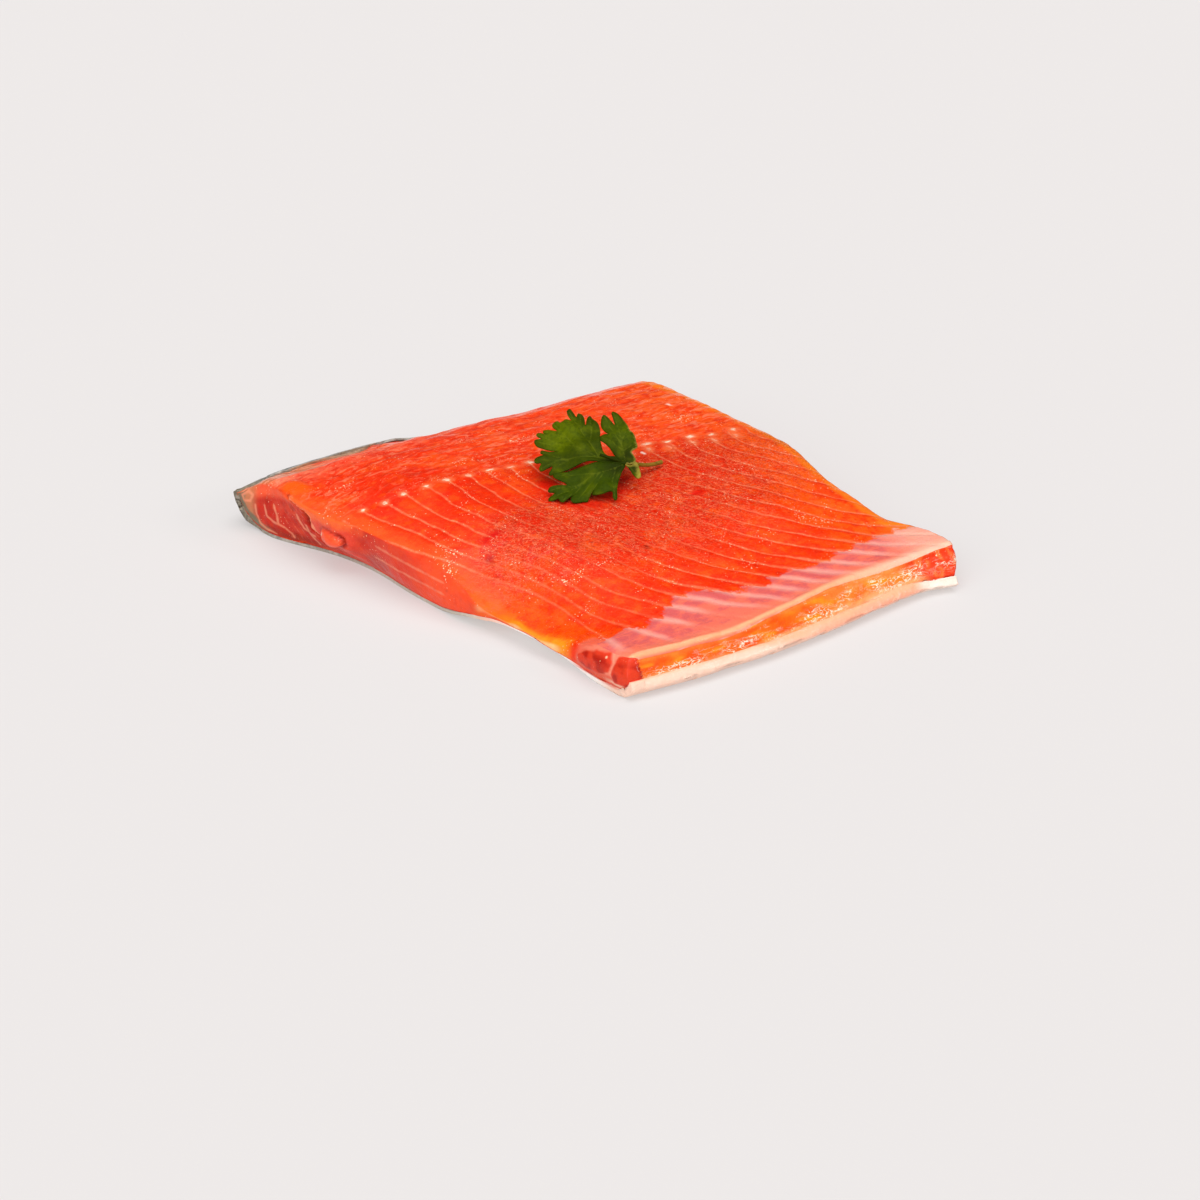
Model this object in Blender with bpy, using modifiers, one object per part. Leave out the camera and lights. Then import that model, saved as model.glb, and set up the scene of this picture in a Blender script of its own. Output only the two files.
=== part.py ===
"""A centre cut of sockeye salmon fillet, skin side down, with a coriander leaf on top.

Metres, +Z up. +X runs along the fish towards the tail and +Y from the belly to the back.
The origin is on the table, under the middle of the whole piece.
"""

import math

import bmesh
import bpy
from mathutils import Vector, noise

MM = 0.001

# Sizes of the fillet
SKIN_THICKNESS = 0.8 * MM
BELLY_SKIN_THICKNESS = 1.9 * MM  # the belly skin is backed with fat
GAP = 0.3 * MM  # between skin and flesh, and between flesh and leaf
BACK_ROLL_WIDTH = 12.0 * MM  # how far in from the back edge the skin leaves the table
BACK_HEM_HEIGHT = 3.6 * MM  # how high the skin would wrap over, above the outermost line of the back
BELLY_ROLL_WIDTH = 5.0 * MM
BELLY_ROLL_HEIGHT = 4.2 * MM
CURLED_HEM_LIFT = 3.0 * MM  # the head cut's thin stretch curls off the table
CURLED_HEM_DEPTH = 0.16  # share of the length over which it comes down again
CURLED_HEM_RISES = (0.50, 0.66)  # shares of the width between which it lifts
CURLED_HEM_FALLS = (0.74, 0.88)
SHOULDER_RADIUS = 4.0 * MM  # the cuts' upper edges are rounded over
SHOULDER_DROP = 0.9 * MM
SHARP_CORNERS = (0.82, 0.92)  # shares of the width between which that rounding runs out
FACE_BULGE = 0.8 * MM
LUMP_HEIGHT = 0.35 * MM
LUMP_SPACING = 14.0 * MM
EDGE_WAVER = 0.7 * MM
EDGE_WAVER_SPACING = 17.0 * MM

# Share of the width that each roll of skin takes in the grids, from back to belly
BACK_SHARE = 0.12
BELLY_SHARE = 0.93

# Edges seen from above. The first number runs from 0 to 1 along the edge and the second is
# in millimetres: along the fish from the head cut's foremost point for the cuts, and across
# the fish for the others.
BACK_LINE = (
    (0.0, 90.0), (0.06, 88.8), (0.13, 88.2), (0.32, 87.0), (0.4, 85.2), (0.5, 83.4), (0.65, 81.2),
    (0.8, 79.7), (1.0, 78.2),
)
BELLY_LINE = (
    (0.0, -45.3), (0.15, -47.6), (0.3, -49.3), (0.5, -49.8), (0.7, -49.0), (0.85, -47.9),
    (0.93, -48.6), (1.0, -50.8),
)
RIDGE_LINE = (
    (0.0, -40.3), (0.15, -43.0), (0.3, -44.3), (0.45, -43.5), (0.6, -42.0), (0.7, -41.0),
    (0.85, -42.0), (1.0, -42.6),
)
HEAD_CUT_FOOT = (
    (0.0, -1.7), (0.06, -0.6), (0.12, 1.0), (0.19, 4.3), (0.27, 8.4), (0.35, 10.0), (0.5, 10.3),
    (0.56, 10.7), (0.68, 14.5), (0.76, 16.4), (0.88, 17.6), (1.0, 18.6),
)
HEAD_CUT_BROW = (
    (0.0, -1.6), (0.06, 0.4), (0.12, 1.8), (0.23, 1.0), (0.31, 2.8), (0.36, 4.8), (0.46, 7.0),
    (0.54, 9.5), (0.62, 11.5), (0.69, 13.5), (0.77, 15.2), (0.92, 17.8), (1.0, 21.4),
)
TAIL_CUT_FOOT = (
    (0.0, 110.5), (0.15, 112.8), (0.5, 112.3), (0.8, 112.6), (0.92, 114.6), (1.0, 114.8),
)
TAIL_CUT_BROW = (
    (0.0, 110.8), (0.05, 114.4), (0.12, 115.3), (0.2, 114.0), (0.35, 113.4), (0.5, 113.8),
    (0.7, 113.9), (0.83, 114.8), (0.9, 117.6), (0.96, 118.8), (1.0, 117.9),
)

# How high the outermost line of the back runs, how far the skin wraps over it in degrees,
# and how far the flesh side falls away to it, along the fish
BACK_LINE_HEIGHT = ((0.0, 8.0), (0.1, 10.7), (0.35, 10.9), (0.5, 10.5), (1.0, 10.2))
BACK_WRAP = (
    (0.0, 18.0), (0.08, 62.0), (0.14, 72.0), (0.31, 74.0), (0.36, 48.0), (0.45, 44.0), (0.54, 20.0),
    (1.0, 16.0),
)
BACK_FALL = ((0.0, 5.4), (0.05, 2.6), (0.12, 0.2), (0.34, 0.0), (0.54, 2.5), (1.0, 3.0))

# Height of the flesh side in millimetres, from back to belly, at three places along the fish
HEAD_SECTION = (
    (0.0, 14.4), (0.12, 14.9), (0.23, 15.2), (0.31, 14.6), (0.46, 14.0), (0.54, 13.6), (0.58, 11.9),
    (0.62, 9.8), (0.69, 6.2), (0.77, 5.3), (0.85, 6.2), (0.92, 8.6), (1.0, 9.3),
)
MIDDLE_SECTION = (
    (0.0, 14.8), (0.06, 15.6), (0.12, 16.2), (0.25, 18.0), (0.4, 18.8), (0.55, 18.3), (0.68, 16.0),
    (0.78, 13.3), (0.88, 10.8), (0.95, 9.7), (1.0, 9.3),
)
TAIL_SECTION = (
    (0.0, 14.8), (0.12, 16.0), (0.2, 17.2), (0.28, 18.0), (0.56, 18.0), (0.61, 16.4), (0.66, 14.4),
    (0.75, 12.4), (0.83, 10.4), (0.9, 9.5), (1.0, 9.2),
)
HEAD_SECTION_ENDS = 0.24  # share of the length over which the head section turns into the middle one
TAIL_SECTION_STARTS = 0.72
LEAST_FLESH = 1.3 * MM  # thickness that is left where the head cut thins out
LEAST_FLESH_AT_BACK = 0.5 * MM
BACK_SETBACK = 0.3 * MM  # the flesh side starts this far in from the skin's edge

# A flake that hangs down the head cut, at this share of the width and of the height
FLAKE_ACROSS = 0.32
FLAKE_UP = 0.5
FLAKE_HALF_WIDTH = 0.035
FLAKE_HALF_HEIGHT = 0.33
FLAKE_PROUD = 3.0 * MM

# Grid steps along the fish, across it and up its sides
STEPS_ALONG = 40
STEPS_ACROSS = 44
STEPS_UP = 6
CROWDING_ALONG = 0.05  # the steps are closer together at the edges
CROWDING_ACROSS = 0.04

# The coriander leaf: three leaflets and a stalk
LEAF_JOINT = Vector((65.2, 17.5, 24.0)) * MM  # where the leaflets meet
LEAF_TURN = math.radians(-38.0)  # heading of the blade's own right-hand side
LEAF_TILT = math.radians(25.0)  # the far side of the blade stands up by this much
LEAF_THICKNESS = 0.5 * MM
STALK = (
    (-4.0, -2.6, 24.3), (0.0, 0.0, 24.0), (5.8, 1.1, 21.4), (10.0, 1.7, 19.9), (13.3, 1.8, 19.9),
)
STALK_RADIUS = 0.6 * MM
RIB_LENGTH = 3.0 * MM  # how far the rib runs into a leaflet
LEAFLET_NECK = 0.7 * MM
LEAFLET_ROWS = 4
COLUMNS_PER_EDGE = 3  # between a tip and the next notch
ROUNDNESS = 0.4  # of the tips and notches
LEAST_TURN = math.radians(0.6)  # from one column of a leaflet to the next
BLADE_WAVE = 0.7 * MM
BLADE_WAVES = 3

# Each leaflet's foot, then its tips and the notches between them, clockwise, in millimetres
# from the joint: to the blade's right and up the blade. The last number is how far its rim
# curls down.
LEAFLETS = {
    "end": (
        (-5.5, 1.5),
        (
            (-18, -3.5), (-17, -1.5), (-20.5, -1.5), (-19.5, 0), (-22, 1), (-20.5, 4), (-16.5, 5),
            (-22, 7), (-20, 8), (-21.5, 10), (-19, 10), (-19.5, 12), (-16.5, 11), (-17, 13.5),
            (-15, 13), (-14.5, 14.5), (-13, 14), (-13.5, 18), (-12, 16.5), (-11, 18), (-9.5, 13),
            (-8.5, 16), (-7, 13.5), (-6, 12), (-6, 7), (-5, 3.5),
        ),
        1.3 * MM,
    ),
    "far": (
        (-0.5, -0.5),
        (
            (-3, 2), (-4.5, 5), (-6, 9), (-4.5, 9.5), (-5.5, 13), (-5.5, 15), (-3, 12), (-3, 16.5),
            (0, 13.5), (1.5, 10.5), (2.5, 9), (2.5, 6.5), (3, 4.5), (2, 3), (3, 1),
        ),
        1.2 * MM,
    ),
    "low": (
        (-2, -0.5),
        (
            (0, -2), (-1.5, -6.5), (-2.5, -12), (-3.5, -10), (-6, -10.5), (-7.5, -9), (-9, -12.5),
            (-9.5, -10.5), (-12, -13), (-12, -10.5), (-14.5, -13), (-15, -11), (-18, -12),
            (-16, -10), (-18.5, -8.5), (-14, -7), (-17, -5), (-14, -2.5), (-6.5, -1),
        ),
        0.2 * MM,
    ),
    "curl": (
        (0.5, -0.5),
        ((3, -0.5), (4, -3), (4, -5), (3.5, -5.5), (2.5, -3.5), (1, -1.5)),
        0.0,
    ),
}


def through(knots, t):
    """A smooth curve through the knots, read at t."""
    if t <= knots[0][0]:
        return knots[0][1]
    if t >= knots[-1][0]:
        return knots[-1][1]
    i = next(k for k in range(len(knots) - 1) if t <= knots[k + 1][0])

    def slope(k):
        a, b = knots[max(k - 1, 0)], knots[min(k + 1, len(knots) - 1)]
        return (b[1] - a[1]) / (b[0] - a[0])

    (t0, y0), (t1, y1) = knots[i], knots[i + 1]
    span = t1 - t0
    s = (t - t0) / span
    return (
        y0 * (1 + 2 * s) * (1 - s) ** 2
        + slope(i) * span * s * (1 - s) ** 2
        + y1 * s * s * (3 - 2 * s)
        + slope(i + 1) * span * s * s * (s - 1)
    )


def ramp(t, start, end):
    """0 before start and 1 after end, with a soft rise between them."""
    s = min(max((t - start) / (end - start), 0.0), 1.0)
    return s * s * (3 - 2 * s)


def mix(a, b, t):
    return a + (b - a) * t


def crowd_ends(t, strength):
    """0 to 1, with the steps closer together at both ends."""
    return t - strength * math.sin(2 * math.pi * t)


def wavered(point):
    """The same point moved sideways a little, as soft flesh never lies quite straight."""
    at = Vector((point.x, point.y, 0.0)) / EDGE_WAVER_SPACING
    return Vector(
        (
            point.x + EDGE_WAVER * noise.noise(at),
            point.y + EDGE_WAVER * noise.noise(at + Vector((7.0, 3.0, 5.0))),
            point.z,
        )
    )


def skin_depth(v):
    return mix(SKIN_THICKNESS, BELLY_SKIN_THICKNESS, ramp(v, 0.8, 0.95))


def hem_lift(u, v):
    """How far the head cut's thin stretch is curled off the table."""
    along = 1 - ramp(u, 0.0, CURLED_HEM_DEPTH)
    across = ramp(v, *CURLED_HEM_RISES) * (1 - ramp(v, *CURLED_HEM_FALLS))
    return CURLED_HEM_LIFT * along * across


def skin_sheet(u, v, depth):
    """A point of the skin's outer side, or that far inside it."""
    back = through(BACK_LINE, u) * MM
    belly = through(BELLY_LINE, u) * MM
    if v < BACK_SHARE:
        outermost = through(BACK_LINE_HEIGHT, u) * MM
        angle = mix(-math.radians(through(BACK_WRAP, u)), math.pi / 2, v / BACK_SHARE)
        radius = outermost if angle > 0.0 else BACK_HEM_HEIGHT
        y = back - BACK_ROLL_WIDTH + (BACK_ROLL_WIDTH - depth) * math.cos(angle)
        z = outermost - (radius - depth) * math.sin(angle)
    elif v > BELLY_SHARE:
        angle = mix(math.pi / 2, 0.0, (v - BELLY_SHARE) / (1 - BELLY_SHARE))
        y = belly + BELLY_ROLL_WIDTH - (BELLY_ROLL_WIDTH - depth) * math.cos(angle)
        z = BELLY_ROLL_HEIGHT - (BELLY_ROLL_HEIGHT - depth) * math.sin(angle)
    else:
        share = (v - BACK_SHARE) / (BELLY_SHARE - BACK_SHARE)
        y = mix(back - BACK_ROLL_WIDTH, belly + BELLY_ROLL_WIDTH, share)
        z = depth
    x = mix(through(HEAD_CUT_FOOT, v), through(TAIL_CUT_FOOT, v), u) * MM
    return Vector((x, y, z + hem_lift(u, v)))


def flesh_side_height(u, v):
    height = mix(through(HEAD_SECTION, v), through(MIDDLE_SECTION, v), ramp(u, 0.0, HEAD_SECTION_ENDS))
    height = mix(height, through(TAIL_SECTION, v), ramp(u, TAIL_SECTION_STARTS, 1.0))
    return (height - through(BACK_FALL, u) * max(0.0, 1 - v / BACK_SHARE) ** 2) * MM


def flesh_side(u, v):
    """A point of the upper, flesh side."""
    rim = skin_sheet(u, 0.0, SKIN_THICKNESS + GAP).y - BACK_SETBACK
    inner = through(BACK_LINE, u) * MM - BACK_ROLL_WIDTH
    ridge = through(RIDGE_LINE, u) * MM
    if v < BACK_SHARE:
        y = mix(rim, inner, v / BACK_SHARE)
    else:
        y = mix(inner, ridge, (v - BACK_SHARE) / (1 - BACK_SHARE))
    head, tail = through(HEAD_CUT_BROW, v) * MM, through(TAIL_CUT_BROW, v) * MM
    x = mix(head, tail, u)
    z = flesh_side_height(u, v)
    from_cut = min(x - head, tail - x)
    rounding = 1 - ramp(v, *SHARP_CORNERS)
    z -= SHOULDER_DROP * rounding * max(0.0, 1 - from_cut / SHOULDER_RADIUS) ** 2
    z += LUMP_HEIGHT * noise.noise(Vector((x, y, 0.01)) / LUMP_SPACING)
    return Vector((x, y, z))


def flesh_point(u, v, w):
    """A point of the block of flesh: u along the fish, v from back to belly, w from skin up."""
    low = skin_sheet(u, v, skin_depth(v) + GAP)
    high = flesh_side(u, v)
    high.z = max(high.z, low.z + mix(LEAST_FLESH_AT_BACK, LEAST_FLESH, ramp(v, 0.0, 0.05)))
    point = low.lerp(high, w)
    swell = FACE_BULGE * 4 * w * (1 - w)
    if u == 0.0:
        off = math.hypot((v - FLAKE_ACROSS) / FLAKE_HALF_WIDTH, (w - FLAKE_UP) / FLAKE_HALF_HEIGHT)
        point.x -= swell + FLAKE_PROUD * (1 - ramp(off, 0.2, 1.2))
    elif u == 1.0:
        point.x += swell
    if v == 1.0:
        point.y -= 0.5 * swell
    return wavered(point)


def skin_point(u, v, w):
    """A point of the skin: w runs from its outer side to the side on the flesh."""
    return wavered(skin_sheet(u, v, skin_depth(v) * w))


def block(name, place, steps_up, material, flat_sides):
    """A closed grid block whose every point is put where place(u, v, w) says."""
    bm = bmesh.new()
    bmesh.ops.create_grid(bm, x_segments=STEPS_ALONG, y_segments=STEPS_ACROSS, size=0.5)
    bmesh.ops.translate(bm, verts=bm.verts, vec=(0.5, 0.5, 0.0))
    raised = bmesh.ops.extrude_face_region(bm, geom=bm.faces[:])
    tops = [item for item in raised["geom"] if isinstance(item, bmesh.types.BMVert)]
    bmesh.ops.translate(bm, verts=tops, vec=(0.0, 0.0, 1.0))
    if steps_up > 1:
        uprights = [e for e in bm.edges if abs(e.verts[0].co.z - e.verts[1].co.z) > 0.5]
        bmesh.ops.subdivide_edges(bm, edges=uprights, cuts=steps_up - 1)
    sides = {side: [v for v in bm.verts if v.co.z == side and is_inner(v.co)] for side in flat_sides}
    # v runs from back to belly and u along the fish, so the block turns over and v is read backwards.
    for vert in bm.verts:
        u, v, w = vert.co
        vert.co = place(crowd_ends(u, CROWDING_ALONG), crowd_ends(1 - v, CROWDING_ACROSS), w)
    for verts in sides.values():
        edges = {e for v in verts for e in v.link_edges}
        bmesh.ops.dissolve_limit(bm, angle_limit=math.radians(1.0), verts=verts, edges=list(edges))
    bmesh.ops.recalc_face_normals(bm, faces=bm.faces)
    mesh = bpy.data.meshes.new(name)
    bm.to_mesh(mesh)
    bm.free()
    mesh.materials.append(material)
    mesh.shade_smooth()
    mesh.set_sharp_from_angle(angle=math.radians(40.0))
    return bpy.data.objects.new(name, mesh)


def is_inner(corner):
    """Whether a point of the unit block is off its four sides."""
    return 0.0 < corner.x < 1.0 and 0.0 < corner.y < 1.0


def flesh_top_under(x, y):
    """Height of the flesh side under a point away from the edges."""
    u = v = 0.5
    for _ in range(6):
        inner = through(BACK_LINE, u) * MM - BACK_ROLL_WIDTH
        ridge = through(RIDGE_LINE, u) * MM
        v = BACK_SHARE + (inner - y) / (inner - ridge) * (1 - BACK_SHARE)
        head, tail = through(HEAD_CUT_BROW, v) * MM, through(TAIL_CUT_BROW, v) * MM
        u = (x - head) / (tail - head)
    return flesh_side(u, v).z


def leaf_frame(right, up, off):
    """A point given in the blade's own plane, put over the fillet and kept clear of it."""
    across = Vector((math.cos(LEAF_TURN), math.sin(LEAF_TURN), 0.0))
    away = Vector((-math.sin(LEAF_TURN), math.cos(LEAF_TURN), 0.0))
    rise = away * math.cos(LEAF_TILT) + Vector((0.0, 0.0, math.sin(LEAF_TILT)))
    point = LEAF_JOINT + across * right + rise * up + across.cross(rise) * off
    least = flesh_top_under(point.x, point.y) + GAP + LEAF_THICKNESS
    point.z = max(point.z, least)
    return point


def rounded(points, t):
    """A smooth line through a list of points, t running from 0 to 1."""
    place = min(max(t, 0.0), 1.0) * (len(points) - 1)
    i = min(int(place), len(points) - 2)
    s = place - i
    near = [min(max(k, 0), len(points) - 1) for k in range(i - 1, i + 3)]
    before, start, end, after = (Vector(points[k]) for k in near)
    return (
        start * (2 * s**3 - 3 * s**2 + 1)
        + (end - before) * ROUNDNESS * (s**3 - 2 * s**2 + s)
        + end * (3 * s**2 - 2 * s**3)
        + (after - start) * ROUNDNESS * (s**3 - s**2)
    )


def fan(foot, outline, columns):
    """Heading and length of each column from the foot, kept from folding back on itself."""
    rays = []
    for i in range(columns + 1):
        ray = rounded(outline, i / columns) - foot
        heading = math.atan2(ray.y, ray.x)
        if rays:
            last = rays[-1][0]
            heading += 2 * math.pi * round((last - heading) / (2 * math.pi))
            heading = min(heading, last - LEAST_TURN)
        rays.append((heading, ray.length * MM))
    return rays


def leaflet(name, foot, outline, curl, material):
    """A fan of blade from its foot to its outline, drawn as a sheet and then thickened."""
    foot = Vector(foot)
    columns = COLUMNS_PER_EDGE * (len(outline) - 1)
    rays = fan(foot, outline, columns)
    bm = bmesh.new()
    bmesh.ops.create_grid(bm, x_segments=columns, y_segments=LEAFLET_ROWS, size=0.5)
    for vert in bm.verts:
        across, r = vert.co.x + 0.5, vert.co.y + 0.5
        heading, length = rays[round(across * columns)]
        reach = mix(LEAFLET_NECK, length, r)
        right = foot.x * MM + reach * math.cos(heading)
        up = foot.y * MM + reach * math.sin(heading)
        wave = BLADE_WAVE * math.cos(BLADE_WAVES * 2 * math.pi * across) * r - curl * r * r
        vert.co = leaf_frame(right, up, wave)
    mesh = bpy.data.meshes.new(name)
    bm.to_mesh(mesh)
    bm.free()
    mesh.materials.append(material)
    sheet = bpy.data.objects.new(name, mesh)
    thick = sheet.modifiers.new("blade", "SOLIDIFY")
    thick.thickness = LEAF_THICKNESS
    thick.offset = 0.0
    return sheet


def rod(name, points, radius, material):
    """A closed round rod along the points, as a mesh that a Boolean can join."""
    curve = bpy.data.curves.new(name, "CURVE")
    curve.dimensions = "3D"
    curve.bevel_depth = radius
    curve.bevel_resolution = 2
    curve.use_fill_caps = True
    line = curve.splines.new("POLY")
    line.points.add(len(points) - 1)
    for knot, point in zip(line.points, points):
        knot.co = (*point, 1.0)
    guide = bpy.data.objects.new(name, curve)
    bpy.context.scene.collection.objects.link(guide)
    graph = bpy.context.evaluated_depsgraph_get()
    mesh = bpy.data.meshes.new_from_object(guide.evaluated_get(graph))
    bpy.data.objects.remove(guide)
    bm = bmesh.new()
    bm.from_mesh(mesh)
    bmesh.ops.remove_doubles(bm, verts=bm.verts, dist=0.01 * MM)
    bm.to_mesh(mesh)
    bm.free()
    mesh.materials.clear()
    mesh.materials.append(material)
    return bpy.data.objects.new(name, mesh)


def faces_joined_to(start):
    """All the faces that a face is joined to, over edges."""
    joined = {start}
    edge_of_joined = [start]
    while edge_of_joined:
        face = edge_of_joined.pop()
        beside = {other for edge in face.edges for other in edge.link_faces} - joined
        joined |= beside
        edge_of_joined.extend(beside)
    return joined


def drop_slivers(mesh):
    """Keeps the largest piece of a joined mesh, without the crumbs that a union can leave."""
    bm = bmesh.new()
    bm.from_mesh(mesh)
    bm.faces.ensure_lookup_table()
    largest = faces_joined_to(max(bm.faces, key=lambda face: face.calc_area()))
    crumbs = [face for face in bm.faces if face not in largest]
    bmesh.ops.delete(bm, geom=crumbs, context="FACES")
    bm.to_mesh(mesh)
    bm.free()


def coriander_leaf(material):
    """The stalk with its leaflets joined on."""
    start = Vector((LEAF_JOINT.x, LEAF_JOINT.y, 0.0))
    stalk = [start + Vector(rounded(STALK, i / 10)) * MM for i in range(11)]
    leaf = rod("coriander_leaf", stalk, STALK_RADIUS, material)
    pieces = bpy.data.collections.new("leaflets")
    bpy.context.scene.collection.children.link(pieces)
    for name, (foot, outline, curl) in LEAFLETS.items():
        pieces.objects.link(leaflet(name, foot, outline, curl, material))
        ray = (Vector(outline[len(outline) // 2]) - Vector(foot)).normalized()
        end = Vector(foot) * MM + ray * RIB_LENGTH
        rib = (leaf_frame(0.0, 0.0, 0.0), leaf_frame(end.x, end.y, 0.0))
        pieces.objects.link(rod(name + "_rib", rib, 0.9 * STALK_RADIUS, material))
    bpy.context.scene.collection.objects.link(leaf)
    join = leaf.modifiers.new("join", "BOOLEAN")
    join.operation = "UNION"
    join.operand_type = "COLLECTION"
    join.collection = pieces
    join.solver = "MANIFOLD"
    graph = bpy.context.evaluated_depsgraph_get()
    joined = bpy.data.meshes.new_from_object(leaf.evaluated_get(graph))
    bpy.data.objects.remove(leaf)
    for piece in list(pieces.objects):
        bpy.data.objects.remove(piece)
    bpy.data.collections.remove(pieces)
    drop_slivers(joined)
    return bpy.data.objects.new("coriander_leaf", joined)


def surface(name, colour, roughness):
    material = bpy.data.materials.new(name)
    material.use_nodes = True
    shader = material.node_tree.nodes["Principled BSDF"]
    shader.inputs["Base Color"].default_value = (*colour, 1.0)
    shader.inputs["Roughness"].default_value = roughness
    shader.inputs["Metallic"].default_value = 0.0
    return material


def stand_on_origin(objects):
    """Moves the finished meshes so that the origin is on the table under their middle."""
    corners = [vert.co for obj in objects for vert in obj.data.vertices]
    low = [min(c[axis] for c in corners) for axis in range(3)]
    high = [max(c[axis] for c in corners) for axis in range(3)]
    middle = Vector(((low[0] + high[0]) / 2, (low[1] + high[1]) / 2, low[2]))
    for obj in objects:
        for vert in obj.data.vertices:
            vert.co -= middle


def main():
    for old in list(bpy.data.objects):
        bpy.data.objects.remove(old)
    fillet = bpy.data.collections.new("salmon_fillet")
    bpy.context.scene.collection.children.link(fillet)
    red_flesh = surface("sockeye flesh", (0.83, 0.10, 0.035), 0.35)
    silver_skin = surface("salmon skin", (0.50, 0.46, 0.42), 0.30)
    green_leaf = surface("coriander blade", (0.09, 0.16, 0.01), 0.45)
    pieces = [
        block("flesh", flesh_point, STEPS_UP, red_flesh, (0.0,)),
        block("skin", skin_point, 1, silver_skin, (0.0, 1.0)),
        coriander_leaf(green_leaf),
    ]
    stand_on_origin(pieces)
    for piece in pieces:
        fillet.objects.link(piece)


main()
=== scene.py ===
import math

import bpy
import numpy as np
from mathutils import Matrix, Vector, geometry, noise


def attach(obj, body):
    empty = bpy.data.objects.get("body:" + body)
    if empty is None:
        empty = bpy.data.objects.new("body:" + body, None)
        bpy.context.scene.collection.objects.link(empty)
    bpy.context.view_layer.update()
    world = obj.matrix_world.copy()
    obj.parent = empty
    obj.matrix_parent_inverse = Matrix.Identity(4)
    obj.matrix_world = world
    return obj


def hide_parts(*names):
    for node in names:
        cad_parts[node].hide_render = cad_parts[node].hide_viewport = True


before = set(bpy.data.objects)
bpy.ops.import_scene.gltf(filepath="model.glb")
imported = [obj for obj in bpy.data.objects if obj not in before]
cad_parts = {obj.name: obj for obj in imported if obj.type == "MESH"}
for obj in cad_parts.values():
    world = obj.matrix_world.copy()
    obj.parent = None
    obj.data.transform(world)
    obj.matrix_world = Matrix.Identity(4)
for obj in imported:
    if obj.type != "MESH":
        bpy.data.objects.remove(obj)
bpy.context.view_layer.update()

# The flesh
# One block of raw sockeye muscle, cut across the fish with a knife at both ends. It lies in flakes
# with pale sheets of tissue between them, and the belly's pink lining and rim of fat are grown on it.

MM = 0.001
SHARP_EDGE = math.radians(50)


def select_only(piece):
    """Selects one object, so that the operators act on it alone."""
    bpy.ops.object.select_all(action="DESELECT")
    bpy.context.view_layer.objects.active = piece
    piece.select_set(True)


def merged_copy(node, name):
    """A new object with a CAD node's mesh, its loose triangles merged and joined to quads."""
    piece = bpy.data.objects.new(name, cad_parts[node].data.copy())
    bpy.context.scene.collection.objects.link(piece)
    select_only(piece)
    bpy.ops.mesh.customdata_custom_splitnormals_clear()
    bpy.ops.object.mode_set(mode="EDIT")
    bpy.ops.mesh.select_mode(type="VERT")
    bpy.ops.mesh.select_all(action="SELECT")
    bpy.ops.mesh.remove_doubles(threshold=0.01 * MM)
    bpy.ops.mesh.tris_convert_to_quads(face_threshold=math.radians(60), shape_threshold=math.radians(80))
    bpy.ops.object.mode_set(mode="OBJECT")
    piece.data.materials.clear()
    return piece


def crease_sharp_edges(piece, amount):
    """Keeps the edges that fold by more than SHARP_EDGE when the mesh is subdivided."""
    bpy.ops.object.mode_set(mode="EDIT")
    bpy.ops.mesh.select_mode(type="EDGE")
    bpy.ops.mesh.select_all(action="DESELECT")
    bpy.ops.mesh.edges_select_sharp(sharpness=SHARP_EDGE)
    bpy.ops.object.mode_set(mode="OBJECT")
    chosen = np.zeros(len(piece.data.edges), bool)
    piece.data.edges.foreach_get("select", chosen)
    crease = piece.data.attributes.new("crease_edge", "FLOAT", "EDGE")
    crease.data.foreach_set("value", chosen.astype(np.float32) * amount)


def places_of(piece):
    """Where the piece's points are, in millimetres."""
    flat = np.empty(len(piece.data.vertices) * 3)
    piece.data.vertices.foreach_get("co", flat)
    return flat.reshape(-1, 3) / MM


def facings_of(piece):
    """Which way the surface faces at each point."""
    flat = np.empty(len(piece.data.vertices) * 3)
    piece.data.vertices.foreach_get("normal", flat)
    return flat.reshape(-1, 3)


def move_points(piece, places):
    """Moves the piece's points to the places, in millimetres."""
    piece.data.vertices.foreach_set("co", (places * MM).ravel())
    piece.data.update()


def ramp(start, end, value):
    """A soft step from 0 at start to 1 at end."""
    share = np.clip((value - start) / (end - start), 0, 1)
    return share * share * (3 - 2 * share)


def through(knots, t):
    """A smooth line through the knots, which are pairs in rising order, read at each t."""
    stops, values = np.array(knots, float).T
    slopes = np.gradient(values, stops)
    i = np.clip(np.searchsorted(stops, t) - 1, 0, len(stops) - 2)
    span = stops[i + 1] - stops[i]
    s = np.clip((t - stops[i]) / span, 0, 1)
    bend = slopes[i] * (s ** 3 - 2 * s ** 2 + s) + slopes[i + 1] * (s ** 3 - s ** 2)
    return values[i] + (values[i + 1] - values[i]) * (3 * s ** 2 - 2 * s ** 3) + span * bend


def lumps(places, size, seed=0):
    """Soft noise from about -1 to 1, with lumps of that size in millimetres along each axis."""
    scaled = places / np.array(size, float) + np.array([7.3, 3.1, 5.7]) * (seed + 1)
    return np.array([noise.noise(place) for place in scaled])


def colour(code):
    """The linear colour of an sRGB hex value."""
    values = np.array([int(code[i:i + 2], 16) for i in (1, 3, 5)]) / 255
    return np.where(values > 0.04045, ((values + 0.055) / 1.055) ** 2.4, values / 12.92)


def painted(ground, layers):
    """A colour for each point: the ground, and each layer's colour over it as thickly as it says."""
    paint = colour(ground)
    for code, amount in layers:
        amount = np.clip(amount, 0, 1)[:, None]
        paint = paint * (1 - amount) + colour(code) * amount
    return paint


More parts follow.
